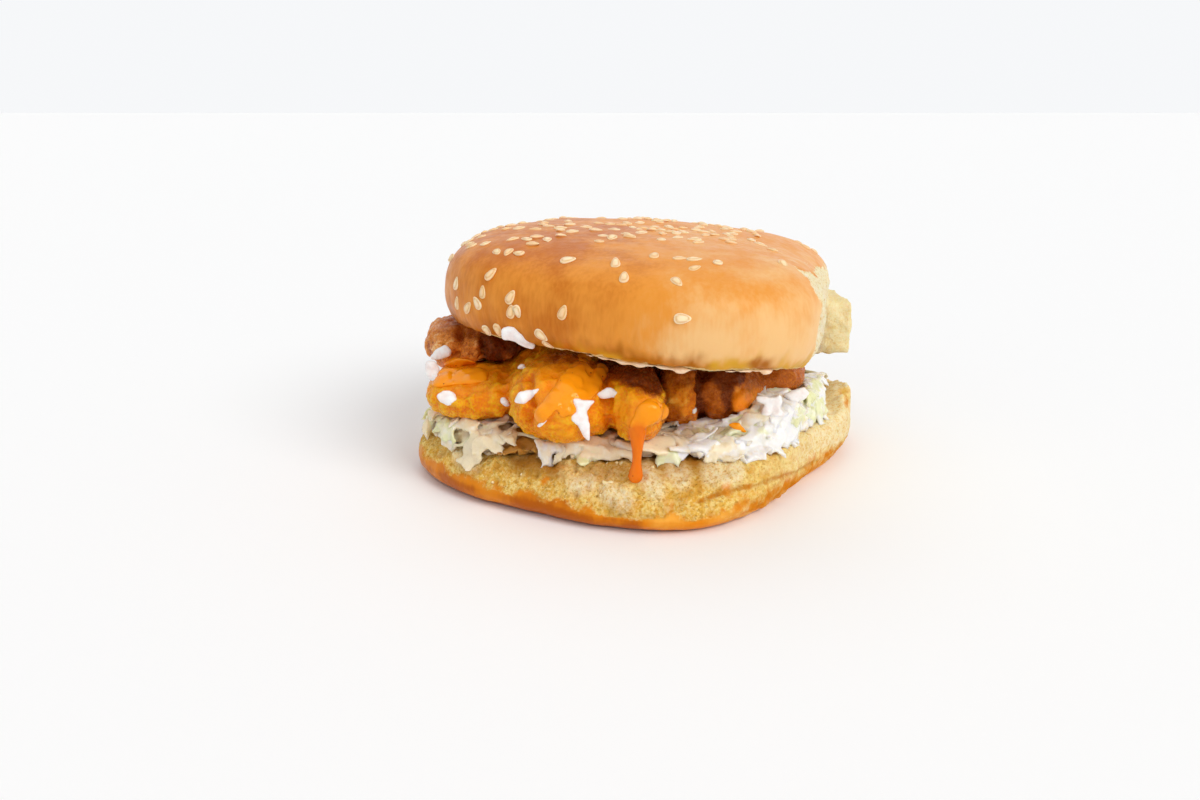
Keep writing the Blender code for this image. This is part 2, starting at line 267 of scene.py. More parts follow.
# The first line is a soaked stain; the second is a painted shadow under the cabbage, right of the drip.
HEEL_STAINS_AND_SHADOW = (
    ((-29, 12.5, 1.5), (-24, 13.5, 2), (-21.5, 12, 1)),
    ((-1, 14.6, 0.3), (4.6, 14.1, 0.5), (10, 14.4, 0.5), (13, 14.5, 0.3)),
)
SOAKED_MIDDLE = (-9, -45, 12.5)
CRUMB_COUNT = 45

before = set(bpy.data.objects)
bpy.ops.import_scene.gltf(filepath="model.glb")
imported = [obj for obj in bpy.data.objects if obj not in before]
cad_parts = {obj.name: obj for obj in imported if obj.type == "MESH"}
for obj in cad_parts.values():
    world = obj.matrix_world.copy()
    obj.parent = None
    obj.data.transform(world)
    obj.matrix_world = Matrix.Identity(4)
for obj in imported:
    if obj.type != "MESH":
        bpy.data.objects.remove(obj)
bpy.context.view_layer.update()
heap_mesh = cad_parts["shredded_cabbage"].data


# Noise


def lattice_random(cells, seed):
    """A repeatable random number from 0 to 1 for each whole-number cell."""
    mixed = cells[..., 0] * 374761393 + cells[..., 1] * 668265263 + cells[..., 2] * 1440662683
    mixed = (mixed + seed * 1013904223) & 0xFFFFFFFF
    mixed = ((mixed ^ (mixed >> 13)) * 1274126177) & 0xFFFFFFFF
    mixed = ((mixed ^ (mixed >> 15)) * 668265263) & 0xFFFFFFFF
    return ((mixed ^ (mixed >> 16)) & 0xFFFFFF) / 0xFFFFFF


def noise(places, size, seed, octaves=1, stretch=(1, 1, 1)):
    """Smooth random values from about -1 to 1, whose largest waves are about size long."""
    total = np.zeros(len(places))
    for octave in range(octaves):
        scaled = places / (size * 0.5**octave * np.array(stretch)) + 31.7 * (octave + 1)
        base = np.floor(scaled).astype(np.int64)
        share = scaled - base
        share = share**3 * (share * (share * 6 - 15) + 10)
        for corner in np.ndindex(2, 2, 2):
            weight = np.prod(np.where(corner, share, 1 - share), axis=1) * 0.5**octave
            total += weight * (lattice_random(base + corner, seed + octave) * 2 - 1)
    return total


def scattered_cells(places, size, seed):
    """Distance to the nearest of scattered centres and to the next one, and a number for it."""
    scaled = places / size
    base = np.floor(scaled).astype(np.int64)
    nearest = np.full(len(places), 9.0)
    second = np.full(len(places), 9.0)
    number = np.zeros(len(places))
    for step in np.ndindex(3, 3, 3):
        cell = base + np.array(step) - 1
        centre = np.stack([lattice_random(cell, seed + axis) for axis in range(3)], axis=1)
        distance = np.linalg.norm(cell + centre - scaled, axis=1)
        closer = distance < nearest
        second = np.where(closer, nearest, np.minimum(second, distance))
        number = np.where(closer, lattice_random(cell, seed + 3), number)
        nearest = np.where(closer, distance, nearest)
    return nearest, second, number


def ramp(values, start, end):
    """A smooth change from 0 at start to 1 at end, level beyond them. Start may be the greater."""
    share = np.clip((values - start) / (end - start), 0, 1)
    return share * share * (3 - 2 * share)


def bump_at(values, middle, width):
    """1 where values are at the middle, falling to 0 on both sides."""
    return np.exp(-(((values - middle) / width) ** 2))


def polar(places, centre=MIDDLE):
    """How far places lie from a centre seen from above, and their directions in radians."""
    x = places[:, 0] - centre[0]
    y = places[:, 1] - centre[1]
    return np.hypot(x, y), np.arctan2(y, x)


def degrees_off(angles, middle):
    """How far directions in radians are from a middle one, all the way round, in degrees."""
    return np.abs((np.degrees(angles) - middle + 180) % 360 - 180)


def facing(places, side, centre=MIDDLE):
    """1 where places lie towards a side of the centre, 0 elsewhere."""
    middle, half_width, fade = side
    return ramp(degrees_off(polar(places, centre)[1], middle), half_width + fade, half_width)


def near_lines(places, lines, fade):
    """1 within lines given as x, z and half width seen along +Y, fading to 0 beyond them."""
    share = np.zeros(len(places))
    seen = places[:, [0, 2]]
    for line in lines:
        for (*a, start_width), (*b, end_width) in zip(line, line[1:]):
            way = np.subtract(b, a)
            along = np.clip((seen - a) @ way / (way @ way), 0, 1)
            gap = np.linalg.norm(seen - a - along[:, None] * way, axis=1)
            width = start_width + (end_width - start_width) * along
            share = np.maximum(share, ramp(gap, width + fade, width))
    return share


# Meshes


def vertex_places(mesh):
    places = np.empty(len(mesh.vertices) * 3, np.float32)
    mesh.vertices.foreach_get("co", places)
    return places.reshape(-1, 3).astype(float) / MM


def vertex_normals(mesh):
    normals = np.empty(len(mesh.vertices) * 3, np.float32)
    mesh.vertex_normals.foreach_get("vector", normals)
    return normals.reshape(-1, 3).astype(float)


def move_vertices(mesh, places):
    mesh.vertices.foreach_set("co", (places * MM).astype(np.float32).ravel())
    mesh.update()


def store(mesh, **masks):
    """Keeps numbers for each vertex under names, by which the materials read them."""
    for name, values in masks.items():
        attribute = mesh.attributes.new(name, "FLOAT", "POINT")
        attribute.data.foreach_set("value", np.full(len(mesh.vertices), values, np.float32))


def add_piece(name, mesh, material):
    """Puts a mesh into the scene as a smooth piece that rides on the burger."""
    piece = bpy.data.objects.new(name, mesh)
    bpy.context.scene.collection.objects.link(piece)
    mesh.materials.clear()
    mesh.materials.append(material)
    mesh.polygons.foreach_set("use_smooth", np.ones(len(mesh.polygons), bool))
    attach(piece, "root")
    return piece


def with_modifiers(mesh, *modifiers):
    """A new mesh: the old one after modifiers, each (type, settings)."""
    holder = bpy.data.objects.new("holder", mesh)
    bpy.context.scene.collection.objects.link(holder)
    for kind, settings in modifiers:
        modifier = holder.modifiers.new(kind, kind)
        for setting, value in settings.items():
            setattr(modifier, setting, value)
    depsgraph = bpy.context.evaluated_depsgraph_get()
    result = bpy.data.meshes.new_from_object(holder.evaluated_get(depsgraph))
    bpy.data.objects.remove(holder)
    return result


def remeshed(mesh, voxel, passes):
    """The mesh as even small squares, smoothed a number of times."""
    return with_modifiers(
        mesh,
        ("REMESH", {"mode": "VOXEL", "voxel_size": voxel * MM}),
        ("SMOOTH", {"factor": 0.5, "iterations": passes}),
    )


def fine_mesh(node, voxel, passes):
    return remeshed(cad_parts[node].data.copy(), voxel, passes)


def tree_of(*meshes):
    """One search tree over several meshes."""
    places = []
    faces = []
    for mesh in meshes:
        start = len(places)
        places += [vertex.co.copy() for vertex in mesh.vertices]
        faces += [[start + index for index in polygon.vertices] for polygon in mesh.polygons]
    return BVHTree.FromPolygons(places, faces)


def mesh_from_arrays(name, places, faces):
    mesh = bpy.data.meshes.new(name)
    mesh.from_pydata((np.array(places) * MM).tolist(), [], faces)
    mesh.update()
    return mesh


# Materials


class Look:
    """A node material being built round one Principled shader."""

    def __init__(self, name, **sockets):
        self.material = bpy.data.materials.new(name)
        self.material.use_nodes = True
        self.tree = self.material.node_tree
        self.shader = self.tree.nodes["Principled BSDF"]
        self.places = self.add("ShaderNodeTexCoord").outputs["Object"]
        for socket, value in sockets.items():
            self.shader.inputs[socket.replace("_", " ")].default_value = value

    def add(self, kind, **settings):
        node = self.tree.nodes.new(kind)
        for setting, value in settings.items():
            setattr(node, setting, value)
        return node

    def feed(self, socket, value):
        """Links an output or a named mask to a socket, or sets it to a number or colour."""
        if isinstance(value, str):
            value = self.add("ShaderNodeAttribute", attribute_name=value).outputs["Fac"]
        if isinstance(value, bpy.types.NodeSocket):
            self.tree.links.new(value, socket)
        elif isinstance(value, tuple):
            socket.default_value = (*value, 1)
        else:
            socket.default_value = value

    def grain(self, size, detail=3, roughness=0.55, stretch=(1, 1, 1)):
        """A noise pattern with features about size long."""
        mapping = self.add("ShaderNodeMapping")
        self.feed(mapping.inputs["Vector"], self.places)
        mapping.inputs["Scale"].default_value = tuple(1 / length for length in stretch)
        node = self.add("ShaderNodeTexNoise")
        self.feed(node.inputs["Vector"], mapping.outputs["Vector"])
        node.inputs["Scale"].default_value = 1 / (size * MM)
        node.inputs["Detail"].default_value = detail
        node.inputs["Roughness"].default_value = roughness
        return node.outputs["Fac"]

    def pits(self, size):
        """Distance from scattered centres about size apart, 0 at each centre."""
        node = self.add("ShaderNodeTexVoronoi")
        self.feed(node.inputs["Vector"], self.places)
        node.inputs["Scale"].default_value = 1 / (size * MM)
        return node.outputs["Distance"]

    def spread(self, value, low, high, bottom=0, top=1):
        """Stretches low to high over bottom to top."""
        node = self.add("ShaderNodeMapRange", interpolation_type="SMOOTHSTEP")
        self.feed(node.inputs["Value"], value)
        self.feed(node.inputs["From Min"], low)
        self.feed(node.inputs["From Max"], high)
        self.feed(node.inputs["To Min"], bottom)
        self.feed(node.inputs["To Max"], top)
        return node.outputs["Result"]

    def mottle(self, size, detail, bottom=0, top=1, roughness=0.55):
        """Values from bottom to top in soft patches about size long."""
        return self.spread(self.grain(size, detail, roughness), 0.3, 0.7, bottom, top)

    def math(self, operation, first, second):
        node = self.add("ShaderNodeMath", operation=operation)
        self.feed(node.inputs[0], first)
        self.feed(node.inputs[1], second)
        return node.outputs["Value"]

    def plus(self, first, second):
        return self.math("ADD", first, second)

    def times(self, first, second):
        return self.math("MULTIPLY", first, second)

    def mix(self, share, first, second):
        """A colour between two colours."""
        node = self.add("ShaderNodeMix", data_type="RGBA")
        self.feed(node.inputs["Factor"], share)
        self.feed(node.inputs[6], first)
        self.feed(node.inputs[7], second)
        return node.outputs[2]

    def colour(self, value):
        self.feed(self.shader.inputs["Base Color"], value)

    def roughness(self, value):
        self.feed(self.shader.inputs["Roughness"], value)

    def bump(self, height, distance, strength=1):
        """Fine relief, added to any that is already there."""
        node = self.add("ShaderNodeBump")
        before = self.shader.inputs["Normal"].links
        if before:
            self.feed(node.inputs["Normal"], before[0].from_socket)
        self.feed(node.inputs["Height"], height)
        node.inputs["Distance"].default_value = distance * MM
        node.inputs["Strength"].default_value = strength
        self.feed(self.shader.inputs["Normal"], node.outputs["Normal"])


def food_look(name, subsurface, depth, specular, gloss_tint=(1, 0.85, 0.55)):
    """A Principled material in which light goes a little way into the food."""
    return Look(
        name,
        Subsurface_Weight=subsurface,
        Subsurface_Radius=(1, 0.55, 0.25),
        Subsurface_Scale=depth * MM,
        Specular_IOR_Level=specular,
        Specular_Tint=(*gloss_tint, 1),
    )


def bun_look(name, crust, crumb_colours):
    """Baked crust and torn crumb, with painted shade in the crumb's pores and holes.

    crust is (pale, golden, brown, rim, butter) and crumb_colours (light, deep, soaked, tuft).
    """
    pale, golden, brown, rim, butter = crust
    light, deep, soaked, tuft = crumb_colours
    look = food_look(name, 0.18, 2, 0.20, (1, 0.80, 0.45))
    baked = look.plus("baked", look.mottle(8, 2, -0.13, 0.13, 0.45))
    upright_grain = look.grain(0.9, 3, 0.5, stretch=(1, 1, 4))
    baked = look.plus(baked, look.spread(upright_grain, 0.3, 0.7, -0.05, 0.05))
    skin = look.mix(look.spread(baked, -0.1, 0.55), pale, golden)
    skin = look.mix(look.spread(baked, 0.5, 1), skin, brown)
    edge_colour = look.mix("butter", rim, butter)
    skin = look.mix("rim", skin, edge_colour)
    # Pores and round holes are painted darker: painted shade in them.
    darkest = look.spread("holes", 0, 1, -0.05, -0.5)
    fluff = look.spread(look.grain(0.7, 5, 0.75), 0.36, 0.64, darkest, 0.95)
    lumps = look.mottle(4, 4, 0, 0.4, 0.6)
    crumb = look.mix(look.plus(fluff, lumps), deep, light)
    fine_pores = look.spread(look.grain(0.8, 4, 0.8), 0.46, 0.34, 0, 0.75)
    crumb = look.mix("pore", crumb, deep)
    pore_share = look.spread("holes", 0, 0.4, 0.35, 1)
    crumb = look.mix(look.times(fine_pores, pore_share), crumb, soaked)
    round_holes = look.plus(look.pits(1.5), look.mottle(1.1, 3, -0.14, 0.2))
    holes = look.times(look.spread(round_holes, 0.34, 0.14, 0, 0.85), "holes")
    crumb = look.mix(holes, crumb, look.mix(0.45, deep, soaked))
    toasted = look.plus("toast", look.mottle(2.4, 3, -0.42, 0.22, 0.6))
    crumb = look.mix(look.spread(toasted, 0, 1), crumb, golden)
    tufted = look.spread(look.grain(0.8, 5, 0.75), 0.36, 0.64, 0.2, 1.3)
    crumb = look.mix(look.times("tuft", tufted), crumb, tuft)
    crumb = look.mix("soaked", crumb, soaked)
    ragged = look.plus("crumb", look.mottle(0.9, 4, -0.22, 0.22))
    look.colour(look.mix(look.spread(ragged, 0.20, 0.75), skin, crumb))
    satin = look.mottle(2.2, 4, 0.30, 0.46)
    look.roughness(look.math("MAXIMUM", satin, look.times("crumb", 0.9)))
    look.bump(look.grain(0.7, 5, 0.6), 0.10, 0.5)
    look.bump(look.times(look.grain(0.5, 5, 0.7), "crumb"), 0.45, 1)
    return look.material


def batter_look(name, hollow, base, ridge, sauce, gloss, grit):
    """Fried batter: painted shade in its hollows and clefts, painted light on its ridges, and smooth
    under sauce. The deep mask adds painted shade in recesses and under the upper bun.
    """
    look = food_look(name, 0.20, 1.2, 0.45, (1, 0.74, 0.40))
    fine = look.spread(look.grain(0.55, 5, 0.78), 0.34, 0.66, -grit, grit)
    # By relief height: darker in the hollows and brighter on the ridges, painted shade and painted light.
    height = look.plus("ridge", fine)
    skin = look.mix(look.spread(height, 0.05, 0.5), hollow, base)
    skin = look.mix(look.spread(height, 0.5, 1), skin, ridge)
    patches = look.spread(look.grain(6, 2), 0.45, 0.68, 0, 0.35)
    skin = look.mix(patches, skin, hollow)
    skin = look.mix("sauce", skin, sauce)
    specks = look.spread(look.pits(1), 0.22, 0.08, 0, 0.7)
    skin = look.mix(specks, skin, hollow)
    # deep darkens to red-brown: painted shade in recesses and under the upper bun, and browner patches.
    deep = look.times("deep", look.math("SUBTRACT", 1, fine))
    skin = look.mix(look.spread(deep, 0, 0.55), skin, (0.46, 0.095, 0.003))
    look.colour(look.mix(look.spread(deep, 0.40, 1), skin, (0.16, 0.018, 0)))
    dry = look.math("SUBTRACT", 1, look.times("sauce", 0.75))
    rough = look.mottle(1.3, 3, gloss - 0.10, gloss + 0.12)
    look.roughness(look.plus(rough, look.times(dry, 0.10)))
    look.bump(look.times(look.grain(0.50, 5, 0.75), dry), 0.42, 1)
    return look.material


def sauce_look():
    look = food_look("orange_sauce", 0.22, 1, 0.55, (1, 0.70, 0.36))
    tint = look.plus("tone", look.spread(look.grain(3.5, 2), 0.35, 0.65, -0.2, 0.2))
    colour = look.mix(look.spread(tint, 0, 1), (0.80, 0.165, 0), (0.98, 0.32, 0.004))
    flecks = look.spread(look.pits(1.9), 0.13, 0.06)
    look.colour(look.mix(flecks, colour, (0.36, 0.035, 0.002)))
    look.roughness(0.13)
    look.bump(look.grain(1.6, 2), 0.12, 0.5)
    return look.material


def dressing_look(name, light, shade):
    """White dressing on cabbage, moist and slightly uneven."""
    look = Look(
        name,
        Subsurface_Weight=0.35,
        Subsurface_Radius=(1, 0.85, 0.75),
        Subsurface_Scale=1.2 * MM,
        Specular_IOR_Level=0.5,
    )
    look.colour(look.mix(look.spread(look.grain(2.2, 3), 0.35, 0.65), shade, light))
    look.roughness(look.mottle(1.2, 2, 0.22, 0.42))
    look.bump(look.grain(0.8, 3), 0.12, 0.5)
    return look.material


def cabbage_look(name, white, cream, green, cavity):
    """Moist cut cabbage: white to cream by its tone, green in places, and darker in its gaps as painted
    shade; in the core's bare gap the same mask gives the soaked bread's own brown.
    """
    look = Look(
        name,
        Subsurface_Weight=0.60,
        Subsurface_Radius=(1, 0.90, 0.60),
        Subsurface_Scale=2 * MM,
    )
    tone = look.plus("tone", look.mottle(2.5, 3, -0.25, 0.25))
    colour = look.mix(look.spread(tone, 0.1, 0.9), white, cream)
    leafy = look.plus("green", look.mottle(3.5, 3, -0.45, 0.10))
    colour = look.mix(look.spread(leafy, 0, 0.9), colour, green)
    look.colour(look.mix("gap", colour, cavity))
    look.feed(look.shader.inputs["Specular IOR Level"], look.spread("gap", 0.3, 1, 0.5, 0.15))
    look.roughness(look.mottle(1.5, 3, 0.20, 0.42))
    look.bump(look.grain(0.7, 3, 0.6), 0.10, 0.5)
    return look.material


def seed_look():
    look = food_look("hulled_seed", 0.30, 0.8, 0.5)
    tone = look.plus("tone", look.mottle(0.8, 2, -0.15, 0.15))
    colour = look.mix(look.spread(tone, 0, 1), (0.99, 0.78, 0.52), (0.93, 0.63, 0.34))
    # The groove ring is darker: partly the seed's toasted rim and partly painted shade round its outline.
    look.colour(look.mix("edge", colour, (0.66, 0.33, 0.10)))
    look.roughness(0.42)
    return look.material


# Bun


def crumb_relief(places, seed):
    """How far torn crumb stands out, and how deep in a pore each place is."""
    large, _, large_number = scattered_cells(places, 2.9, seed)
    small, _, small_number = scattered_cells(places, 1.45, seed + 10)
    large_pore = ramp(large, 0.55, 0.12) * ramp(large_number, 0.35, 0.75)
    small_pore = ramp(small, 0.50, 0.10) * ramp(small_number, 0.2, 0.8)
    lumps = noise(places, 5, seed + 20, 3)
    fluff = noise(places, 1.5, seed + 30, 2)
    relief = 0.30 * lumps + 0.28 * fluff - 0.90 * large_pore - 0.65 * small_pore
    return relief, np.clip(large_pore + 0.7 * small_pore, 0, 1)


def edge_height(places, inside, centre):
    """Height of the upper bun's lower edge below each place, smoothed round its side."""
    steps = 72
    radii, angles = polar(places, centre)
    index = np.floor((angles + math.pi) / (2 * math.pi) * steps).astype(int) % steps
    lowest = np.zeros(steps)
    for step in range(steps):
        here = (index == step) & ~inside
        outer = here & (radii > 0.86 * radii[here].max())
        lowest[step] = places[outer, 2].min()
    lowest = np.convolve(np.r_[lowest[-3:], lowest, lowest[:3]], np.ones(7) / 7, "valid")
    position = (angles + math.pi) / (2 * math.pi) * steps - 0.5
    return np.interp(position, np.arange(-1, steps + 1), np.r_[lowest[-1], lowest, lowest[0]])


def lower_edge(places, normals, centre):
    """The line where the underside of the upper bun turns up into its side.

    It has one row of (angle, x, y, z) for each 3 degrees.
    """
    radii, angles = polar(places, centre)
    turning = (normals[:, 2] < -0.80) & (normals[:, 2] > -0.985) & (radii > 40)
    line = []
    for angle in np.arange(-180, 180, 3):
        here = turning & (degrees_off(angles, angle) < 2.5)
        if here.any():
            line.append((angle, *np.median(places[here], axis=0)))
    return np.array(line)


def make_bun_top():
    mesh = fine_mesh("bun_top", TOP_VOXEL, 26)
    places = vertex_places(mesh)
    _, y, z = places.T
    normals = vertex_normals(mesh)
    centre = np.array([1.3, 0.7, 0])
    edge_line = lower_edge(places, normals, centre)
    on_flap = ramp(polar(places, centre)[0], FLAP_START, FLAP_START + 2)
    on_flap *= ramp(np.abs(y - FLAP_MIDDLE), FLAP_HALF_WIDTH + 2, FLAP_HALF_WIDTH)
    on_flap *= ramp(z, FLAP_TOP + 1.5, FLAP_TOP)
    rise = z - edge_height(places, on_flap > 0.3, centre)
    ragged = noise(places, 5, 11, 4)
    torn = facing(places + (2.2 * ragged)[:, None] * (0, 1, 0), TORN_SIDE, centre)
    torn *= ramp(rise + 2.2 * ragged, TORN_TOP, TORN_TOP - 1)
    underside = ramp(normals[:, 2] + 0.12 * noise(places, 3, 12, 3), -0.70, -0.86)
    underside *= ramp(rise, 2, 1)
    crumb = np.clip(np.maximum(np.maximum(torn, underside), on_flap), 0, 1)
    # Long waves, fine upright wrinkles above the edge and a slightly pitted crust.
    streaks = noise(places, 1, 13, 2, stretch=(1.3, 1.3, 7))
    low_band = ramp(rise, 0.6, 2) * ramp(rise, 13, 5)
    crust_relief = 0.22 * noise(places, 13, 14, 2)
    crust_relief += 0.035 * noise(places, 2.6, 15, 2)
    crust_relief += 0.08 * streaks * low_band
    frayed = ramp(rise, 4, 1)
    crust_relief += 0.34 * noise(places, 4, 16, 2) * frayed
    crust_relief += 0.16 * noise(places, 1.3, 29, 2, stretch=(1, 1, 2)) * frayed
    relief, pore = crumb_relief(places, 40)
    relief *= 1 - 0.65 * on_flap
    height = crust_relief * (1 - crumb) + (relief - 0.35) * crumb
    moved = places + normals * height[:, None]
    moved[:, 1] += 1.3 * noise(places, 6.5, 34, 3) * on_flap
    moved[:, 2] += 0.4 * noise(places, 5, 35, 2) * on_flap
    move_vertices(mesh, moved)
    # Baked brown above, pale in a band over the edge and where the next bun was close. Paler towards
    # the front right and darker on the left, partly the crust's own bake and partly painted light and
    # painted shade.
    wavering = rise + 2 * noise(places, 11, 19, 3)
    top = ramp(wavering, 8, 26)
    paler_lit_side = facing(places, PALER_LIT_SIDE, centre)
    darker_shaded_side = facing(places, DARKER_SHADED_SIDE, centre)
    band = ramp(rise, 1, 5) * ramp(wavering, 28, 0)
    baked = 0.54 + 0.07 * top + 0.26 * darker_shaded_side - 0.30 * paler_lit_side * (1 - 0.5 * top)
    baked -= band * (0.08 + 0.32 * paler_lit_side)
    baked += 0.11 * noise(places, 20, 17, 3)
    flames = 1.3 * streaks + 1.3 * noise(places, 6, 18, 2)
    rim = ramp(rise + flames, 5.6, 0.9)
    buttery = ramp(noise(places, 7, 28, 2) + 0.9 * paler_lit_side, 0.2, 1)
    store(
        mesh,
        baked=baked,
        rim=rim * ramp(noise(places, 8, 20, 2), -1.6, -0.3),
        butter=buttery,
        pore=pore * (1 - 0.6 * on_flap),
        holes=0.4 * (1 - on_flap),
        soaked=underside * 0.4,
        toast=0,
        tuft=0.6 * torn * (1 - on_flap),
        crumb=crumb,
    )
    look = bun_look(
        "baked_top",
        ((0.86, 0.52, 0.22), (0.79, 0.30, 0.042), (0.54, 0.14, 0.008), (0.42, 0.12, 0), (0.7, 0.36, 0.02)),
        ((0.95, 0.82, 0.50), (0.90, 0.68, 0.28), (0.66, 0.36, 0.07), (0.98, 0.89, 0.70)),
    )
    piece = add_piece("bun_top_crust", mesh, look)
    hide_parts("bun_top")
    return piece, edge_line


def make_bun_heel():
    mesh = fine_mesh("bun_heel", HEEL_VOXEL, 12)
    places = vertex_places(mesh)
    x, y, z = places.T
    normals = vertex_normals(mesh)
    centre = np.array([-0.3, -0.5, 0])
    ragged = noise(places, 4, 21, 4)
    upright = facing(places, UPRIGHT_SIDE, centre)
    sloping = ramp(normals[:, 2] + 0.20 * ragged, 0.20, 0.46)
    above = ramp(z + 0.9 * ragged, 1, 2.2)
    crumb = sloping * (1 - upright) + np.maximum(above, sloping) * upright
    relief, pore = crumb_relief(places, 60)
    fibres = noise(places, 1.6, 22, 3, stretch=(1, 1, 3.5))
    relief = relief * (1 - 0.45 * upright) + 0.32 * fibres * upright
    crust_relief = 0.20 * noise(places, 9, 23, 2)
    crust_relief += 0.07 * noise(places, 2.2, 24, 3)
    lip = bump_at(crumb, 0.35, 0.25)
    towards_camera = y < 0
    crease = near_lines(places, HEEL_CREASE, 0.6) * towards_camera
    tufts = near_lines(places, HEEL_TUFTS, 2.2) * towards_camera
    relief = relief * crumb**2 + 0.5 * tufts * crumb
    height = crust_relief * (1 - crumb) + relief + 0.10 * lip - 0.30 * crease
    height *= ramp(z, 0.1, 1.2)
    moved = places + normals * height[:, None]
    end_lip = ramp(x, 49, 53) * ramp(z, 8, 11)
    end_lip *= bump_at(y, 1, 13)
    moved[:, 2] += (3.2 + noise(places, 4, 33, 2)) * end_lip
    moved[:, 2] = np.maximum(moved[:, 2], 0)
    move_vertices(mesh, moved)
    # Darker on the left and paler towards the front right: partly the crust's own bake and partly painted
    # shade and painted light.
    darker_shaded_side = facing(places, DARKER_SHADED_SIDE, centre)
    paler_lit_side = facing(places, PALER_LIT_HEEL_SIDE, centre)
    baked = 0.56 + 0.34 * darker_shaded_side - 0.56 * paler_lit_side + 0.18 * noise(places, 10, 25, 3)
    # Darker in the lowest 2 mm: partly the darker-baked underside edge and partly painted contact shadow.
    # Paler where the crust faces up.
    baked += 0.30 * ramp(z, 1.8, 0.2) - 0.30 * ramp(normals[:, 2], 0, 0.3)
    baked += 0.16 * noise(places, 3, 36, 3, stretch=(1.6, 1.6, 1))
    rim = 0.5 * bump_at(crumb, 0.4, 0.22) * ramp(noise(places, 5, 26, 2), -0.5, 0.5)
    toast = (0.16 + 0.80 * ramp(z + 1.8 * ragged, 9, 2.5)) * upright
    toast = np.maximum(toast, 0.80 * bump_at(crumb, 0.60, 0.30))
    # The crease also takes toast here and soaked colour below: painted shade in the groove.
    toast = np.maximum(toast, 0.7 * crease)
    end_edge = ramp(x, 52, 54.5) * ramp(z, 9.5, 12) * towards_camera
    toast = np.maximum(toast, 0.9 * end_edge * ramp(ragged, -0.5, 0.3))
    pale_end = ramp(x, 24, 46) * ramp(z, 5, 9) * (1 - end_edge)
    tufts = np.maximum(0.7 * tufts, 0.24 * ramp(noise(places, 5, 30, 4), 0.15, 0.9))
    tufts = np.maximum(tufts, 0.75 * pale_end)
    # Soaked stains, plus painted shade in the crease and a painted shadow line under the cabbage.
    soaked = np.maximum(0.85 * near_lines(places, HEEL_STAINS_AND_SHADOW, 3.5), 0.35 * crease) * towards_camera
    soaked += 0.45 * ramp(np.linalg.norm(places - SOAKED_MIDDLE, axis=1), 9, 3.15)
    soaked += 0.35 * ramp(noise(places, 9, 27, 3), 0.15, 0.75) * (1 - 0.75 * paler_lit_side)
    store(
        mesh,
        baked=baked,
        rim=rim,
        butter=0.5,
        pore=pore,
        holes=(1 - 0.8 * upright) * (1 - 0.6 * tufts) * ramp(x, 42, 24),
        soaked=np.clip(soaked, 0, 1) * (1 - 0.8 * tufts),
        toast=toast,
        tuft=tufts,
        crumb=crumb,
    )
    look = bun_look(
        "baked_heel",
        (
            (0.92, 0.43, 0.06), (0.76, 0.24, 0.006), (0.48, 0.11, 0.001), (0.58, 0.17, 0.002),
            (0.76, 0.34, 0.01),
        ),
        ((0.99, 0.75, 0.28), (0.84, 0.47, 0.07), (0.38, 0.14, 0.009), (1, 0.87, 0.58)),
    )
    piece = add_piece("bun_heel_crust", mesh, look)
    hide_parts("bun_heel")
    return piece


# Tikki pieces


def batter_relief(places, seed):
    """Crisp fried batter: rounded lumps, ribs, ragged crust and blisters, and how high each is."""
    lumps = noise(places, 6.5, seed, 2)
    ribs = noise(places, 3.6, seed + 3, 2, stretch=(1, 1, 2.8))
    nearest, second, _ = scattered_cells(places, 3.1, seed + 5)
    knobs = ramp(second - nearest, 0, 0.55)
    crisp = noise(places, 1.7, seed + 9, 3)
    flakes = ramp(noise(places, 2, seed + 15, 3), 0, 0.35) - 0.4
    relief = 0.50 * lumps + 0.36 * ribs + 0.36 * (knobs - 0.5) + 0.26 * crisp
    relief += 0.30 * flakes
    level = 0.5 + 0.16 * lumps + 0.14 * ribs + 0.22 * (knobs - 0.5) + 0.26 * crisp + 0.20 * flakes
    return relief, level


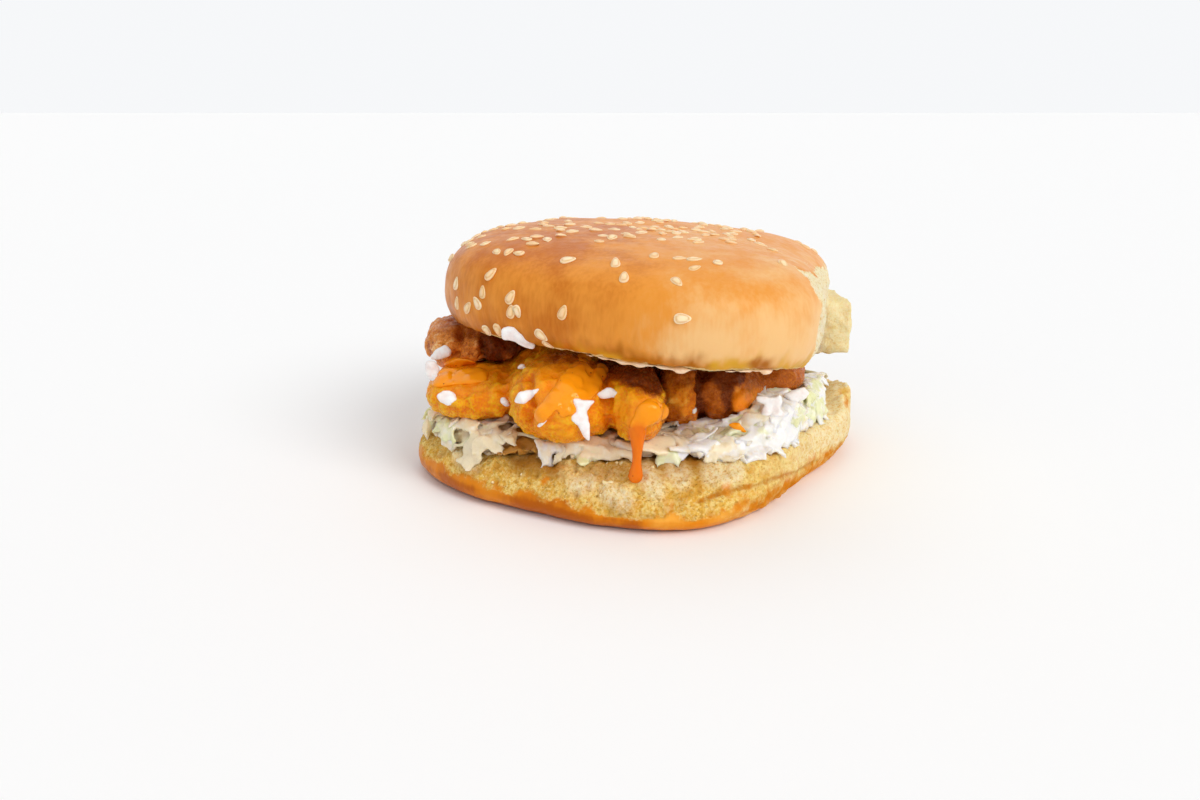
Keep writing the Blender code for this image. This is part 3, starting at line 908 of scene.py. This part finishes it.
def make_tikki(node, name, seed, colours, film_base, gloss, grit, bun_tree):
    """One fried piece: rough batter with clefts, painted shade in its recesses and under the upper bun,
    and a film of sauce.
    """
    mesh = fine_mesh(node, TIKKI_VOXEL, 5)
    places = vertex_places(mesh)
    normals = vertex_normals(mesh)
    knob = np.zeros(len(places))
    for x, z, radius, rise in KNOBS.get(node, ()):
        apart = np.hypot(places[:, 0] - x, places[:, 2] - z) / radius
        knob = np.sqrt(np.clip(1 - apart**2, 0, 1)) * (normals[:, 1] < 0)
        places[:, 1] -= rise * knob
    relief, level = batter_relief(places, seed)
    towards_front = ramp(-normals[:, 1], -0.2, 0.5)
    wavy = places + 0.5 * noise(places, 3, seed + 40, 2)[:, None] * (1, 0, 0.5)
    cleft = near_lines(wavy, CLEFTS[node], 1.8) * towards_front
    near_side = ramp(places[:, 1], np.median(places[:, 1]), np.median(places[:, 1]) - 8)
    recess_shade = near_lines(wavy, RECESS_SHADES[node], 1.8) * near_side
    brown = near_lines(wavy, BROWN_PATCHES.get(node, ()), 2.6) * near_side
    film = film_base * ramp(noise(places, 8, seed + 30, 3), -0.5, 0.5)
    film = np.maximum(film, near_lines(places, SAUCE_RUNS, 1.6) * towards_front)
    film = np.maximum(film, 1.1 * knob)
    relief *= 1 - 0.55 * film
    relief -= CLEFT_DEPTH * cleft**2
    relief += END_SWELL * ramp(-places[:, 0], 41, 50)
    move_vertices(mesh, places + normals * (relief - 0.15)[:, None])
    # Painted shade: the batter darkens where it comes close to the upper bun.
    to_bun = np.array([bun_tree.find_nearest(vertex.co)[3] for vertex in mesh.vertices]) / MM
    under_bun_shade = UNDER_BUN_SHADE * ramp(to_bun, 6.5, 0.8)
    # ridge darkens the clefts as painted shade; deep is painted shade in recesses and under the upper bun,
    # with browner patches.
    store(
        mesh,
        ridge=level - 0.35 * cleft,
        sauce=np.clip(film, 0, 1) * 0.85,
        deep=np.maximum(np.maximum(0.95 * recess_shade, 0.45 * brown), under_bun_shade) * (1 - knob),
    )
    piece = add_piece(name, mesh, batter_look(name, *colours, gloss, grit))
    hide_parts(node)
    return piece


def make_filling(bun_tree):
    """The three fried pieces: the front one under sauce, the far ones browner."""
    orange = (0.94, 0.28, 0.003)
    front = ((0.88, 0.19, 0), (1, 0.42, 0.003), (1, 0.60, 0.018), orange)
    left = ((0.36, 0.058, 0.004), (0.82, 0.27, 0.030), (1, 0.62, 0.28), (0.84, 0.25, 0.020))
    right = ((0.72, 0.155, 0.003), (1, 0.34, 0.010), (1, 0.54, 0.09), (0.94, 0.24, 0.003))
    return (
        make_tikki("tikki_front", "batter_front", 101, front, 0.75, 0.17, 0.44, bun_tree),
        make_tikki("tikki_left", "batter_left", 202, left, 0.45, 0.15, 0.32, bun_tree),
        make_tikki("tikki_right", "batter_right", 303, right, 0.50, 0.15, 0.26, bun_tree),
    )


# Sauce and chips, laid on the filling as seen along +Y


def touch(tree, x, z):
    """The place first met along +Y at x, z and the surface's normal there, or None for both."""
    place, normal, _, _ = tree.ray_cast(Vector((x * MM, -200 * MM, z * MM)), Vector((0, 1, 0)))
    return (None, None) if place is None else (np.array(place) / MM, normal)


def ellipsoid(places, faces, centre, axes, rings=8, sides=12):
    """Adds a closed rounded body. axes are its three half axes as vectors."""
    start = len(places)
    right, up, out = axes
    places.append(centre + up)
    for ring in range(1, rings):
        slope = math.pi * ring / rings
        for side in range(sides):
            turn = 2 * math.pi * side / sides
            places.append(
                centre
                + up * math.cos(slope)
                + (right * math.cos(turn) + out * math.sin(turn)) * math.sin(slope)
            )
    places.append(centre - up)
    last = len(places) - 1
    for side in range(sides):
        following = (side + 1) % sides
        faces.append((start, start + 1 + side, start + 1 + following))
        for ring in range(rings - 2):
            here = start + 1 + ring * sides
            faces.append((here + side, here + sides + side, here + sides + following, here + following))
        base = start + 1 + (rings - 2) * sides
        faces.append((last, base + following, base + side))


def upright_axes(across, up, out):
    """The half axes of a body that stands upright and faces the camera."""
    return Vector((across, 0, 0)), Vector((0, 0, up)), Vector((0, out, 0))


def along_line(points, spacing):
    """Points of (x, z, half width) or the like, filled in evenly along their line."""
    points = np.array(points, float)
    steps = np.linalg.norm(np.diff(points[:, :-1], axis=0), axis=1)
    lengths = np.r_[0, np.cumsum(steps)]
    wanted = np.arange(0, lengths[-1] + spacing, spacing)
    return np.stack([np.interp(wanted, lengths, column) for column in points.T], axis=1)


def make_sauce(tree):
    """Thick smooth sauce: flat lumps along each run, melted together, and the hanging drip."""
    places = []
    faces = []
    rng = np.random.default_rng(5)
    for run in SAUCE_RUNS:
        for x, z, half_width in along_line(run, 0.45):
            offsets = np.arange(-half_width + 0.5, half_width, 0.7)
            for offset in offsets if len(offsets) else (0,):
                place, normal = touch(tree, x + 0.35 * offset, z + 0.8 * offset)
                if place is None or place[1] > -12:
                    continue
                size = (1.00 + 0.25 * rng.random()) * min(1, 0.3 + 0.9 * half_width)
                right = normal.orthogonal().normalized() * size * 1.5
                up = normal.cross(right).normalized() * size * 1.5
                thin = 1 - 0.6 * min(1, abs(offset) / half_width) ** 2
                out = normal * SAUCE_THICKNESS * thin * (0.8 + 0.4 * rng.random())
                ellipsoid(places, faces, Vector(place) + normal * 0.1, (right, up, out), 6, 8)
    for x, y, z, radius in along_line(DRIP, 0.35):
        ellipsoid(places, faces, Vector((x, y, z)), upright_axes(radius, radius, radius * 0.85))
    for x, z, across, up, out in SAUCE_LUMPS:
        place, _ = touch(tree, x, z)
        ellipsoid(places, faces, Vector(place), upright_axes(across, up, out), 12, 16)
    press_outline(places, faces, tree, SAUCE_WEDGE, WEDGE_THICKNESS)
    mesh = remeshed(mesh_from_arrays("sauce", places, faces), SAUCE_VOXEL, 14)
    store(mesh, tone=1 - near_lines(vertex_places(mesh), RED_SAUCE, 3))
    add_piece("orange_sauce", mesh, sauce_look())


def spots_inside(outline, grain):
    """An even grid of points inside an outline, and how far each lies from its edge."""
    low = outline.min(axis=0)
    high = outline.max(axis=0)
    across = np.arange(low[0], high[0] + grain, grain)
    up = np.arange(low[1], high[1] + grain, grain)
    spots = np.stack(np.meshgrid(across, up), axis=-1).reshape(-1, 2)
    inside = np.zeros(len(spots), bool)
    clear = np.full(len(spots), np.inf)
    for start, end in zip(outline, np.roll(outline, -1, axis=0)):
        crosses = (start[1] > spots[:, 1]) != (end[1] > spots[:, 1])
        rise = (spots[:, 1] - start[1]) / (end[1] - start[1] or 1e-12)
        inside ^= crosses & (spots[:, 0] < start[0] + rise * (end[0] - start[0]))
        line = end - start
        along = np.clip((spots - start) @ line / (line @ line), 0, 1)
        clear = np.minimum(clear, np.linalg.norm(spots - start - along[:, None] * line, axis=1))
    inside &= clear > grain / 2
    return spots[inside], clear[inside]


def corners_cut(outline):
    """The outline with each corner replaced by two points near it."""
    following = np.roll(outline, -1, axis=0)
    pairs = [outline * (1 - share) + following * share for share in (0.16, 0.84)]
    return np.stack(pairs, axis=1).reshape(-1, 2)


def press_outline(places, faces, tree, outline, thickness):
    """Fills an outline with rounded bits pressed onto what lies behind it, thick in its middle."""
    points = corners_cut(np.array(outline))
    spots, clear = spots_inside(points, CHIP_GRAIN)
    found = [touch(tree, x, z)[0] for x, z in spots]
    depths = np.array([1000 if place is None else place[1] for place in found])
    depths = np.minimum(depths, np.quantile(depths, 0.1) + CHIP_BEND)
    level = depths.mean() * 0.5 + depths * 0.5
    swell = thickness * (0.22 + 0.62 * np.sqrt(np.clip(clear / 1.6, 0, 1)))
    swell *= 1 + 0.40 * noise(np.c_[spots, depths], 1.8, 41, 2)
    for (x, z), depth, half in zip(spots, level, swell):
        ellipsoid(places, faces, Vector((x, depth - 0.15, z)), upright_axes(0.4, 0.4, half), 5, 7)


def make_chips(tree):
    """White chips on the filling and at the edge of the upper bun."""
    places = []
    faces = []
    for outline in CHIPS:
        press_outline(places, faces, tree, outline, CHIP_THICKNESS)
    mesh = remeshed(mesh_from_arrays("chips", places, faces), CHIP_VOXEL, 12)
    look = dressing_look("white_chip", (0.96, 0.95, 0.94), (0.88, 0.80, 0.78))
    add_piece("cabbage_chips", mesh, look)


def make_dressing(edge_line):
    """An uneven bead of white dressing squeezed out under the edge of the upper bun."""
    bead_places = []
    bead_faces = []
    rng = np.random.default_rng(8)
    for arc in DRESSING_ARCS:
        for angle in np.arange(*arc, 0.4):
            place = [np.interp(angle, edge_line[:, 0], column) for column in edge_line[:, 1:].T]
            wave = 0.5 + 0.5 * math.sin(angle * 0.95) * math.sin(angle * 0.37 + 1)
            ends = min(1, (angle - arc[0]) / 8 + 0.2, (arc[1] - angle) / 8 + 0.2)
            radius = DRESSING_RADIUS * (0.25 + 1.1 * wave * wave + 0.25 * rng.random()) * ends
            outward = Vector((math.cos(math.radians(angle)), math.sin(math.radians(angle)), 0))
            centre = np.array(place) + outward * 0.3 + Vector((0, 0, 0.20 - 0.35 * radius))
            along = outward.cross(Vector((0, 0, radius * 1.5)))
            axes = (outward * radius * 1.4, Vector((0, 0, radius)), along)
            ellipsoid(bead_places, bead_faces, centre, axes, 6, 8)
    mesh = remeshed(mesh_from_arrays("dressing", bead_places, bead_faces), CHIP_VOXEL, 5)
    look = dressing_look("white_dressing", (0.94, 0.70, 0.50), (0.88, 0.56, 0.32))
    add_piece("white_dressing", mesh, look)


# Sesame seeds


def seed_form(rings=12, sides=16):
    """One hulled seed lying along X: round at one end, pointed at the other, with a fine groove."""
    places = []
    edges = []
    for ring in range(rings + 1):
        angle = math.pi * ring / rings
        x = -math.cos(angle)
        width = math.sin(angle) ** 0.9 * (1 - 0.34 * x)
        for side in range(sides):
            turn = 2 * math.pi * side / sides
            y = math.cos(turn)
            z = math.sin(turn)
            z *= abs(z) ** -0.3 if z else 0
            outwards = math.sqrt(x * x + y * y * (1 - x * x))
            groove = math.exp(-(((outwards - 0.72) / 0.12) ** 2)) * (z > 0)
            places.append((x, y * width, z * width * (1 - 0.30 * groove)))
            edges.append(groove)
    faces = []
    for ring in range(rings):
        for side in range(sides):
            following = (side + 1) % sides
            a = ring * sides
            faces.append((a + side, a + following, a + sides + following, a + sides + side))
    return np.array(places), np.array(edges), faces


def make_seeds(top_mesh, tree):
    """Seeds dense on the dome, thinner down the far and left sides, and alone at the front."""
    rng = np.random.default_rng(21)
    stands = []
    for x, z, turn in LONE_SEEDS:
        place, normal = touch(tree, x, z)
        if place is not None:
            stands.append((Vector(place), normal, math.radians(turn)))
    places = vertex_places(top_mesh)
    normals = vertex_normals(top_mesh)
    front = facing(places, FEW_SEEDS_SIDE) * ramp(places[:, 1], -22, -30)
    crowded = ramp(normals[:, 2], 0.62, 0.93) * (1 - 0.97 * front)
    crowded *= 1 - 0.85 * ramp(places[:, 0] - 0.3 * places[:, 1], 22, 34)
    sides = 0.16 * ramp(normals[:, 2], -0.2, 0.1) * (1 - front)
    chance = np.maximum(crowded, sides) * ramp(noise(places, 14, 31, 2), -0.9, 0.5)
    chance *= 1 - facing(places, NO_SEEDS_SIDE) * ramp(normals[:, 2], 0.9, 0.7)
    order = rng.permutation(len(places))[:SEED_TRIES]
    taken = [stand[0] for stand in stands]
    for index in order:
        if rng.random() > chance[index] * SEED_CHANCE:
            continue
        place = Vector(places[index])
        spacing = SEED_SPACING * (0.62 + 0.9 * rng.random())
        if all((place - other).length > spacing for other in taken):
            taken.append(place)
            past_dome = math.hypot(place.x, place.y) > FLAP_START
            on_flap = past_dome and place.z < FLAP_TOP + 2 and place.x > 0
            if not on_flap:
                stands.append((place, Vector(normals[index]), rng.uniform(0, 2 * math.pi)))
    form, edges, faces = seed_form()
    all_places = []
    all_faces = []
    for place, normal, turn in stands:
        across = Vector((1, 0, 0)) - normal * normal.x
        across.normalize()
        upward = normal.cross(across)
        tilt = Matrix.Rotation(rng.normal(0, 0.12), 3, across)
        along = tilt @ (across * math.cos(turn) + upward * math.sin(turn))
        out = tilt @ normal
        side = out.cross(along)
        size = rng.uniform(0.86, 1.10)
        scale = np.array([SEED_LENGTH, SEED_WIDTH * rng.uniform(0.9, 1.08), SEED_THICKNESS]) * size / 2
        local = form * scale
        centre = np.array(place + normal * SEED_THICKNESS * rng.uniform(-0.10, 0.16))
        start = len(all_places) * len(form)
        all_places.append(centre + local @ np.array([along, side, out]))
        all_faces += [tuple(start + corner for corner in face) for face in faces]
    mesh = mesh_from_arrays("seeds", np.concatenate(all_places), all_faces)
    # edge marks the groove ring, darkened partly as toast and partly as painted shade.
    store(
        mesh,
        tone=np.repeat(rng.random(len(stands)), len(form)),
        edge=np.tile(edges, len(stands)) * 0.75,
    )
    add_piece("sesame_seeds", mesh, seed_look())


# Cabbage


def low_side_drop(places):
    """How far the heap lies below the CAD heap on the high part of its low side."""
    return LOW_SIDE_DROP * facing(places, LOW_SIDE) * ramp(places[:, 2], 14, 19)


def past_end(places):
    """How far places lie past the end of the heap, which is farther out on the far side."""
    return places[:, 0] - HEAP_END - 0.35 * np.maximum(places[:, 1], 0)


def in_gap(places, fade):
    """1 in the bare gap of the heap, fading to 0 beyond it."""
    return near_lines(places, BARE_GAP, fade) * (places[:, 1] < 0)


def make_core():
    """The inside of the cabbage heap, lower than the CAD heap, with the relief of packed shreds."""
    mesh = fine_mesh("shredded_cabbage", CORE_VOXEL, 2)
    places = vertex_places(mesh)
    normals = vertex_normals(mesh)
    nearest, second, number = scattered_cells(places * np.array([1, 1, 1.6]), 3.4, 71)
    relief = 0.7 * (number - 0.5) - 0.8 * ramp(second - nearest, 0.25, 0)
    bare = in_gap(places, 3.4)
    relief -= CORE_DEPTH + low_side_drop(places) + 1.2 * bare
    relief += 0.8 * ramp(places[:, 2], 13, 17) * (places[:, 1] < 0) * (1 - bare)
    moved = places + normals * relief[:, None]
    moved[:, 2] -= 8 * ramp(past_end(places), -2, 4)
    move_vertices(mesh, moved)
    # The seams between packed cells are painted darker as painted shade; the bare gap shows soaked bread.
    store(
        mesh,
        tone=0.35 + 0.5 * number,
        green=0.45 * number,
        gap=np.maximum(0.4 * ramp(second - nearest, 0.22, 0), bare),
    )
    look = cabbage_look(
        "cabbage_core",
        (0.90, 0.86, 0.74),
        (0.82, 0.72, 0.52),
        (0.72, 0.70, 0.36),
        (0.52, 0.23, 0.04),
    )
    piece = add_piece("cabbage_core", mesh, look)
    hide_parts("shredded_cabbage")
    return piece


class Cuts:
    """Closed flat pieces, gathered to be melted into one mesh."""

    def __init__(self):
        self.places = []
        self.faces = []
        self.tones = []
        self.greens = []

    def add_sheet(self, middle, outward, thickness, tone, green):
        """Adds a grid of places as a sheet with a top, a bottom and sides."""
        rows, columns, _ = middle.shape
        start = len(self.tones)
        half = outward * thickness[..., None] / 2
        for layer in (middle + half, middle - half):
            self.places += list(layer.reshape(-1, 3))
        count = rows * columns
        self.tones += [tone] * (2 * count)
        self.greens += [green] * (2 * count)
        for row in range(rows - 1):
            for column in range(columns - 1):
                a = start + row * columns + column
                self.faces.append((a, a + 1, a + columns + 1, a + columns))
                self.faces.append((a + count, a + count + columns, a + count + columns + 1, a + count + 1))
        border = list(range(columns))
        border += [row * columns + columns - 1 for row in range(1, rows)]
        border += [(rows - 1) * columns + column for column in range(columns - 2, -1, -1)]
        border += [row * columns for row in range(rows - 2, 0, -1)]
        for first, second in zip(border, border[1:] + border[:1]):
            self.faces.append((start + first, start + first + count, start + second + count, start + second))

    def melted(self, name, voxel, passes, kept):
        """The pieces as one moist surface, thinned to a kept share of its faces.

        Each place keeps the tone of the piece it came from, made creamier away from the standing side as
        painted warm bounce light.
        """
        mesh = remeshed(mesh_from_arrays(name, self.places, self.faces), voxel, passes)
        mesh = with_modifiers(mesh, ("DECIMATE", {"ratio": kept}))
        tree = BVHTree.FromPolygons([Vector(place * MM) for place in self.places], self.faces)
        nearest = [tree.find_nearest(vertex.co)[2] for vertex in mesh.vertices]
        corners = np.array([self.faces[index][0] for index in nearest])
        # Creamier away from the standing side: painted warm bounce light.
        shaded = 1 - facing(vertex_places(mesh), STANDING_SIDE)
        store(
            mesh,
            tone=np.array(self.tones)[corners] + 0.76 * shaded - 0.36,
            green=np.array(self.greens)[corners],
        )
        return mesh


def share_on_heap(middle, normal):
    """How thickly cut cabbage lies on each part of the open side and rim of the heap."""
    share = ramp(polar(middle)[0], 25, 36) * ramp(normal[:, 2], -0.75, -0.2)
    share *= 1 + 1.8 * facing(middle, CROWDED_SIDE)
    return share * (past_end(middle) < 0) * ((middle[:, 2] > 12) | (middle[:, 1] > 0))


def share_on_end(middle, normal):
    """1 on the slope where the heap ends at the right, 0 elsewhere."""
    end = past_end(middle)
    return (end > -2.5) & (end < 4.5) & (middle[:, 2] > 11) & (normal[:, 0] + normal[:, 2] > 0.3)


def cut_spots(mesh, count, seed, share):
    """Random places on a mesh and how they face, as many on each part as its share asks."""
    rng = np.random.default_rng(seed)
    mesh.calc_loop_triangles()
    triangles = np.array([triangle.vertices[:] for triangle in mesh.loop_triangles])
    corners = vertex_places(mesh)[triangles]
    cross = np.cross(corners[:, 1] - corners[:, 0], corners[:, 2] - corners[:, 0])
    area = np.linalg.norm(cross, axis=1) / 2
    normal = cross / np.maximum(2 * area, 1e-6)[:, None]
    weight = area * share(corners.mean(axis=1), normal)
    chosen = rng.choice(len(weight), count, p=weight / weight.sum())
    first, second = rng.random((2, count, 1))
    folded = first + second > 1
    first = np.where(folded, 1 - first, first)
    second = np.where(folded, 1 - second, second)
    base = corners[chosen]
    spots = base[:, 0] + first * (base[:, 1] - base[:, 0]) + second * (base[:, 2] - base[:, 0])
    return spots, normal[chosen], rng


def landed(tree, place):
    """The point of a surface nearest to a place, and the surface's normal there."""
    found, normal, _, _ = tree.find_nearest(Vector(place * MM))
    return np.array(found) / MM, np.array(normal)


def lay_sheet(cuts, tree, spot, normal, rng, size, turn, grid, lift, thickness, ruffle, green):
    """Lays one cut piece on a surface: a ragged oval or strip that follows it and curls."""
    along = np.cross(normal, (0, 0, 1))
    along *= -1 / max(np.linalg.norm(along), 1e-6)
    across = np.cross(normal, along)
    along, across = (
        along * math.cos(turn) + across * math.sin(turn),
        across * math.cos(turn) - along * math.sin(turn),
    )
    rows, columns = grid
    middle = np.zeros((rows, columns, 3))
    outward = np.zeros((rows, columns, 3))
    curl = np.clip(rng.normal(0, 1, 2), -1.3, 1.3) * np.clip(lift, 0.3, 1.2)
    skew = rng.normal(0, 0.35)
    taper = rng.uniform(0.25, 0.9, 2)
    wave = rng.uniform(0, 2 * math.pi, 2)
    for row in range(rows):
        t = row / (rows - 1) * 2 - 1
        width = size[1] * taper[int(t >= 0)] ** (t * t) * (1 + 0.22 * math.sin(5 * t + wave[0]))
        for column in range(columns):
            s = column / (columns - 1) * 2 - 1
            x = size[0] * (t + 0.10 * skew * s + 0.05 * rng.normal())
            y = width * s + size[1] * skew * t * t + 0.06 * size[1] * rng.normal()
            raised = lift + curl[0] * t * abs(t) + curl[1] * s * s * 0.4
            raised += ruffle * math.sin(4.2 * t + 2.3 * s + wave[1])
            place, out = landed(tree, spot + along * x + across * y)
            out = 0.5 * out + 0.5 * normal
            out /= max(np.linalg.norm(out), 1e-6)
            middle[row, column] = place + out * max(raised, -1.5)
            outward[row, column] = out
    lengthwise = np.linspace(-1, 1, rows)[:, None]
    crosswise = np.linspace(-1, 1, columns)[None, :]
    swell = (1 - 0.30 * lengthwise**2) * (1 - 0.40 * crosswise**2)
    cuts.add_sheet(middle, outward, thickness * swell, rng.random(), green)


def finish_cuts(cuts, name, voxel, kept, look):
    """Melts the cut pieces into one piece, with painted shade where it lies deep in the heap."""
    mesh = cuts.melted(name, voxel, 1, kept)
    heap = tree_of(heap_mesh)
    places = vertex_places(mesh)
    above = []
    for place in places:
        found, normal = landed(heap, place)
        above.append((place - found) @ normal)
    above = np.array(above) + low_side_drop(places)
    store(mesh, gap=0.55 * ramp(above, 0.2, -1.1))
    return add_piece(name, mesh, look)


def make_cabbage(tree, core_mesh):
    """Cut shreds all round the heap, fused by their moist dressing, and larger pieces of leaf."""
    look = cabbage_look(
        "cut_cabbage",
        (0.91, 0.885, 0.85),
        (0.86, 0.715, 0.49),
        (0.75, 0.755, 0.42),
        (0.74, 0.60, 0.38),
    )
    shreds = Cuts()
    spots, normals, rng = cut_spots(heap_mesh, SHRED_COUNT, 81, share_on_heap)
    standing = facing(spots, STANDING_SIDE)
    drops = low_side_drop(spots)
    bare = in_gap(spots, 0.8) > 0.5
    for spot, normal, upright, drop, skipped in zip(spots, normals, standing, drops, bare):
        size = (rng.uniform(2, 4.8), rng.uniform(0.7, 1.5))
        lift = min(abs(rng.normal(0.40, 0.60)), 1.2) - drop
        green = rng.uniform(0.5, 1) if rng.random() < 0.20 + 0.3 * (spot[0] > 34) else rng.uniform(0, 0.25)
        thickness = rng.uniform(0.7, 1.1)
        turn = rng.normal(0, 0.8) + 1.1 * upright
        if not skipped:
            lay_sheet(shreds, tree, spot, normal, rng, size, turn, SHRED_GRID, lift, thickness, 0.18, green)
    core_tree = tree_of(core_mesh)
    spots, normals, rng = cut_spots(core_mesh, END_SHRED_COUNT, 83, share_on_end)
    for spot, normal in zip(spots, normals):
        size = (rng.uniform(2, 4.4), rng.uniform(0.7, 1.5))
        turn = rng.normal(0, 0.8)
        lift = rng.uniform(0.2, 0.9)
        green = rng.uniform(0, 0.7)
        lay_sheet(shreds, core_tree, spot, normal, rng, size, turn, SHRED_GRID, lift, 0.9, 0.18, green)
    piece = finish_cuts(shreds, "cabbage_shreds", SHRED_VOXEL, SHREDS_KEPT, look)
    leaves = Cuts()
    spots, normals, rng = cut_spots(heap_mesh, LEAF_COUNT, 82, share_on_heap)
    drops = low_side_drop(spots)
    bare = in_gap(spots, 2) > 0.5
    for spot, normal, drop, skipped in zip(spots, normals, drops, bare):
        size = (rng.uniform(2.6, 4.6), rng.uniform(1.5, 2.8))
        green = rng.uniform(0.5, 1) if rng.random() < 0.3 else rng.uniform(0, 0.3)
        lift = abs(rng.normal(0.2, 0.4)) - drop
        turn = rng.normal(0, 0.8)
        if not skipped:
            lay_sheet(leaves, tree, spot, normal, rng, size, turn, LEAF_GRID, lift, 0.9, 0.35, green)
    for x, z, half_length, half_width, turn, *is_green in LEAVES:
        place, normal = touch(tree, x, z)
        if place is None:
            continue
        size = (half_length, half_width)
        turn = math.radians(turn)
        green = 0.85 if is_green else 0.12
        at = (place, np.array(normal))
        lay_sheet(leaves, tree, *at, rng, size, turn, LAID_LEAF_GRID, 0.9, 1.15, 0.35, green)
    return piece, finish_cuts(leaves, "cabbage_leaves", LEAF_VOXEL, LEAVES_KEPT, look)


def make_crumbs(heel_mesh):
    """Loose bits of torn crumb on the slope of the lower half."""
    rng = np.random.default_rng(91)
    places = vertex_places(heel_mesh)
    normals = vertex_normals(heel_mesh)
    slope = np.flatnonzero((normals[:, 2] > 0.35) & (polar(places)[0] > 43) & (places[:, 2] > 6))
    all_places = []
    all_faces = []
    for index in rng.choice(slope, CRUMB_COUNT, replace=False):
        place = Vector(places[index])
        size = rng.uniform(0.25, 0.65)
        axes = [Vector(rng.normal(0, 1, 3)).normalized() * size * rng.uniform(0.6, 1.3) for _ in range(3)]
        right = axes[0]
        up = right.cross(axes[1]).normalized() * axes[1].length
        out = right.cross(up).normalized() * axes[2].length
        ellipsoid(all_places, all_faces, place, (right, up, out), 6, 8)
    mesh = remeshed(mesh_from_arrays("crumbs", all_places, all_faces), CRUMB_VOXEL, 1)
    rough = vertex_places(mesh)
    rough += 0.30 * np.stack([noise(rough, 0.9, 95 + axis, 3) for axis in range(3)], axis=1)
    move_vertices(mesh, rough)
    look = food_look("loose_crumb", 0.25, 1, 0.3)
    look.colour(look.mix(look.mottle(1.2, 3), (0.86, 0.62, 0.26), (0.98, 0.84, 0.56)))
    look.roughness(0.9)
    add_piece("loose_crumbs", mesh, look.material)


# Studio


def make_studio():
    scene = bpy.context.scene
    scene.view_settings.view_transform = "Standard"
    world = bpy.data.worlds.new("room")
    world.use_nodes = True
    tree = world.node_tree
    fill = tree.nodes["Background"]
    fill.inputs["Color"].default_value = (*FILL_COLOUR, 1)
    fill.inputs["Strength"].default_value = FILL_STRENGTH
    backdrop = tree.nodes.new("ShaderNodeBackground")
    backdrop.inputs["Color"].default_value = (*BACKDROP_COLOUR, 1)
    choice = tree.nodes.new("ShaderNodeMixShader")
    path = tree.nodes.new("ShaderNodeLightPath")
    seen = tree.nodes.new("ShaderNodeMath")
    seen.operation = "MAXIMUM"
    for output, socket in (
        (path.outputs["Is Camera Ray"], seen.inputs[0]),
        (path.outputs["Is Glossy Ray"], seen.inputs[1]),
        (seen.outputs["Value"], choice.inputs["Fac"]),
        (fill.outputs["Background"], choice.inputs[1]),
        (backdrop.outputs["Background"], choice.inputs[2]),
        (choice.outputs["Shader"], tree.nodes["World Output"].inputs["Surface"]),
    ):
        tree.links.new(output, socket)
    scene.world = world
    for name, direction, strength, angle in LAMPS:
        lamp = bpy.data.lights.new(name, "SUN")
        lamp.energy = strength
        lamp.angle = math.radians(angle)
        lamp.color = LAMP_COLOUR
        holder = bpy.data.objects.new(name, lamp)
        holder.rotation_euler = (-Vector(direction)).to_track_quat("-Z", "Y").to_euler()
        scene.collection.objects.link(holder)
    half = FLOOR_SIZE / 2
    corners = [(-half, -half, 0), (half, -half, 0), (half, half, 0), (-half, half, 0)]
    floor = bpy.data.objects.new("floor", mesh_from_arrays("floor", corners, [(0, 1, 2, 3)]))
    look = Look("floor", Roughness=0.8, Specular_IOR_Level=0.1)
    look.colour(FLOOR_COLOUR)
    floor.data.materials.append(look.material)
    scene.collection.objects.link(floor)


def make_camera():
    camera = bpy.data.cameras.new("camera")
    camera.lens = CAMERA_LENS
    camera.sensor_width = SENSOR_WIDTH
    camera.clip_start = 5 * MM
    holder = bpy.data.objects.new("camera", camera)
    holder.location = Vector(CAMERA_PLACE) * MM
    holder.rotation_euler = (math.radians(90 - CAMERA_PITCH), 0, 0)
    bpy.context.scene.collection.objects.link(holder)
    bpy.context.scene.camera = holder


make_camera()
make_studio()
bun_top, edge_line = make_bun_top()
bun_heel = make_bun_heel()
bun_tree = tree_of(bun_top.data)
filling = make_filling(bun_tree)
core = make_core()
cabbage = make_cabbage(tree_of(heap_mesh, bun_heel.data), core.data)
front_tree = tree_of(bun_top.data, *(piece.data for piece in filling + cabbage))
make_sauce(front_tree)
make_chips(front_tree)
make_dressing(edge_line)
make_seeds(bun_top.data, bun_tree)
make_crumbs(bun_heel.data)
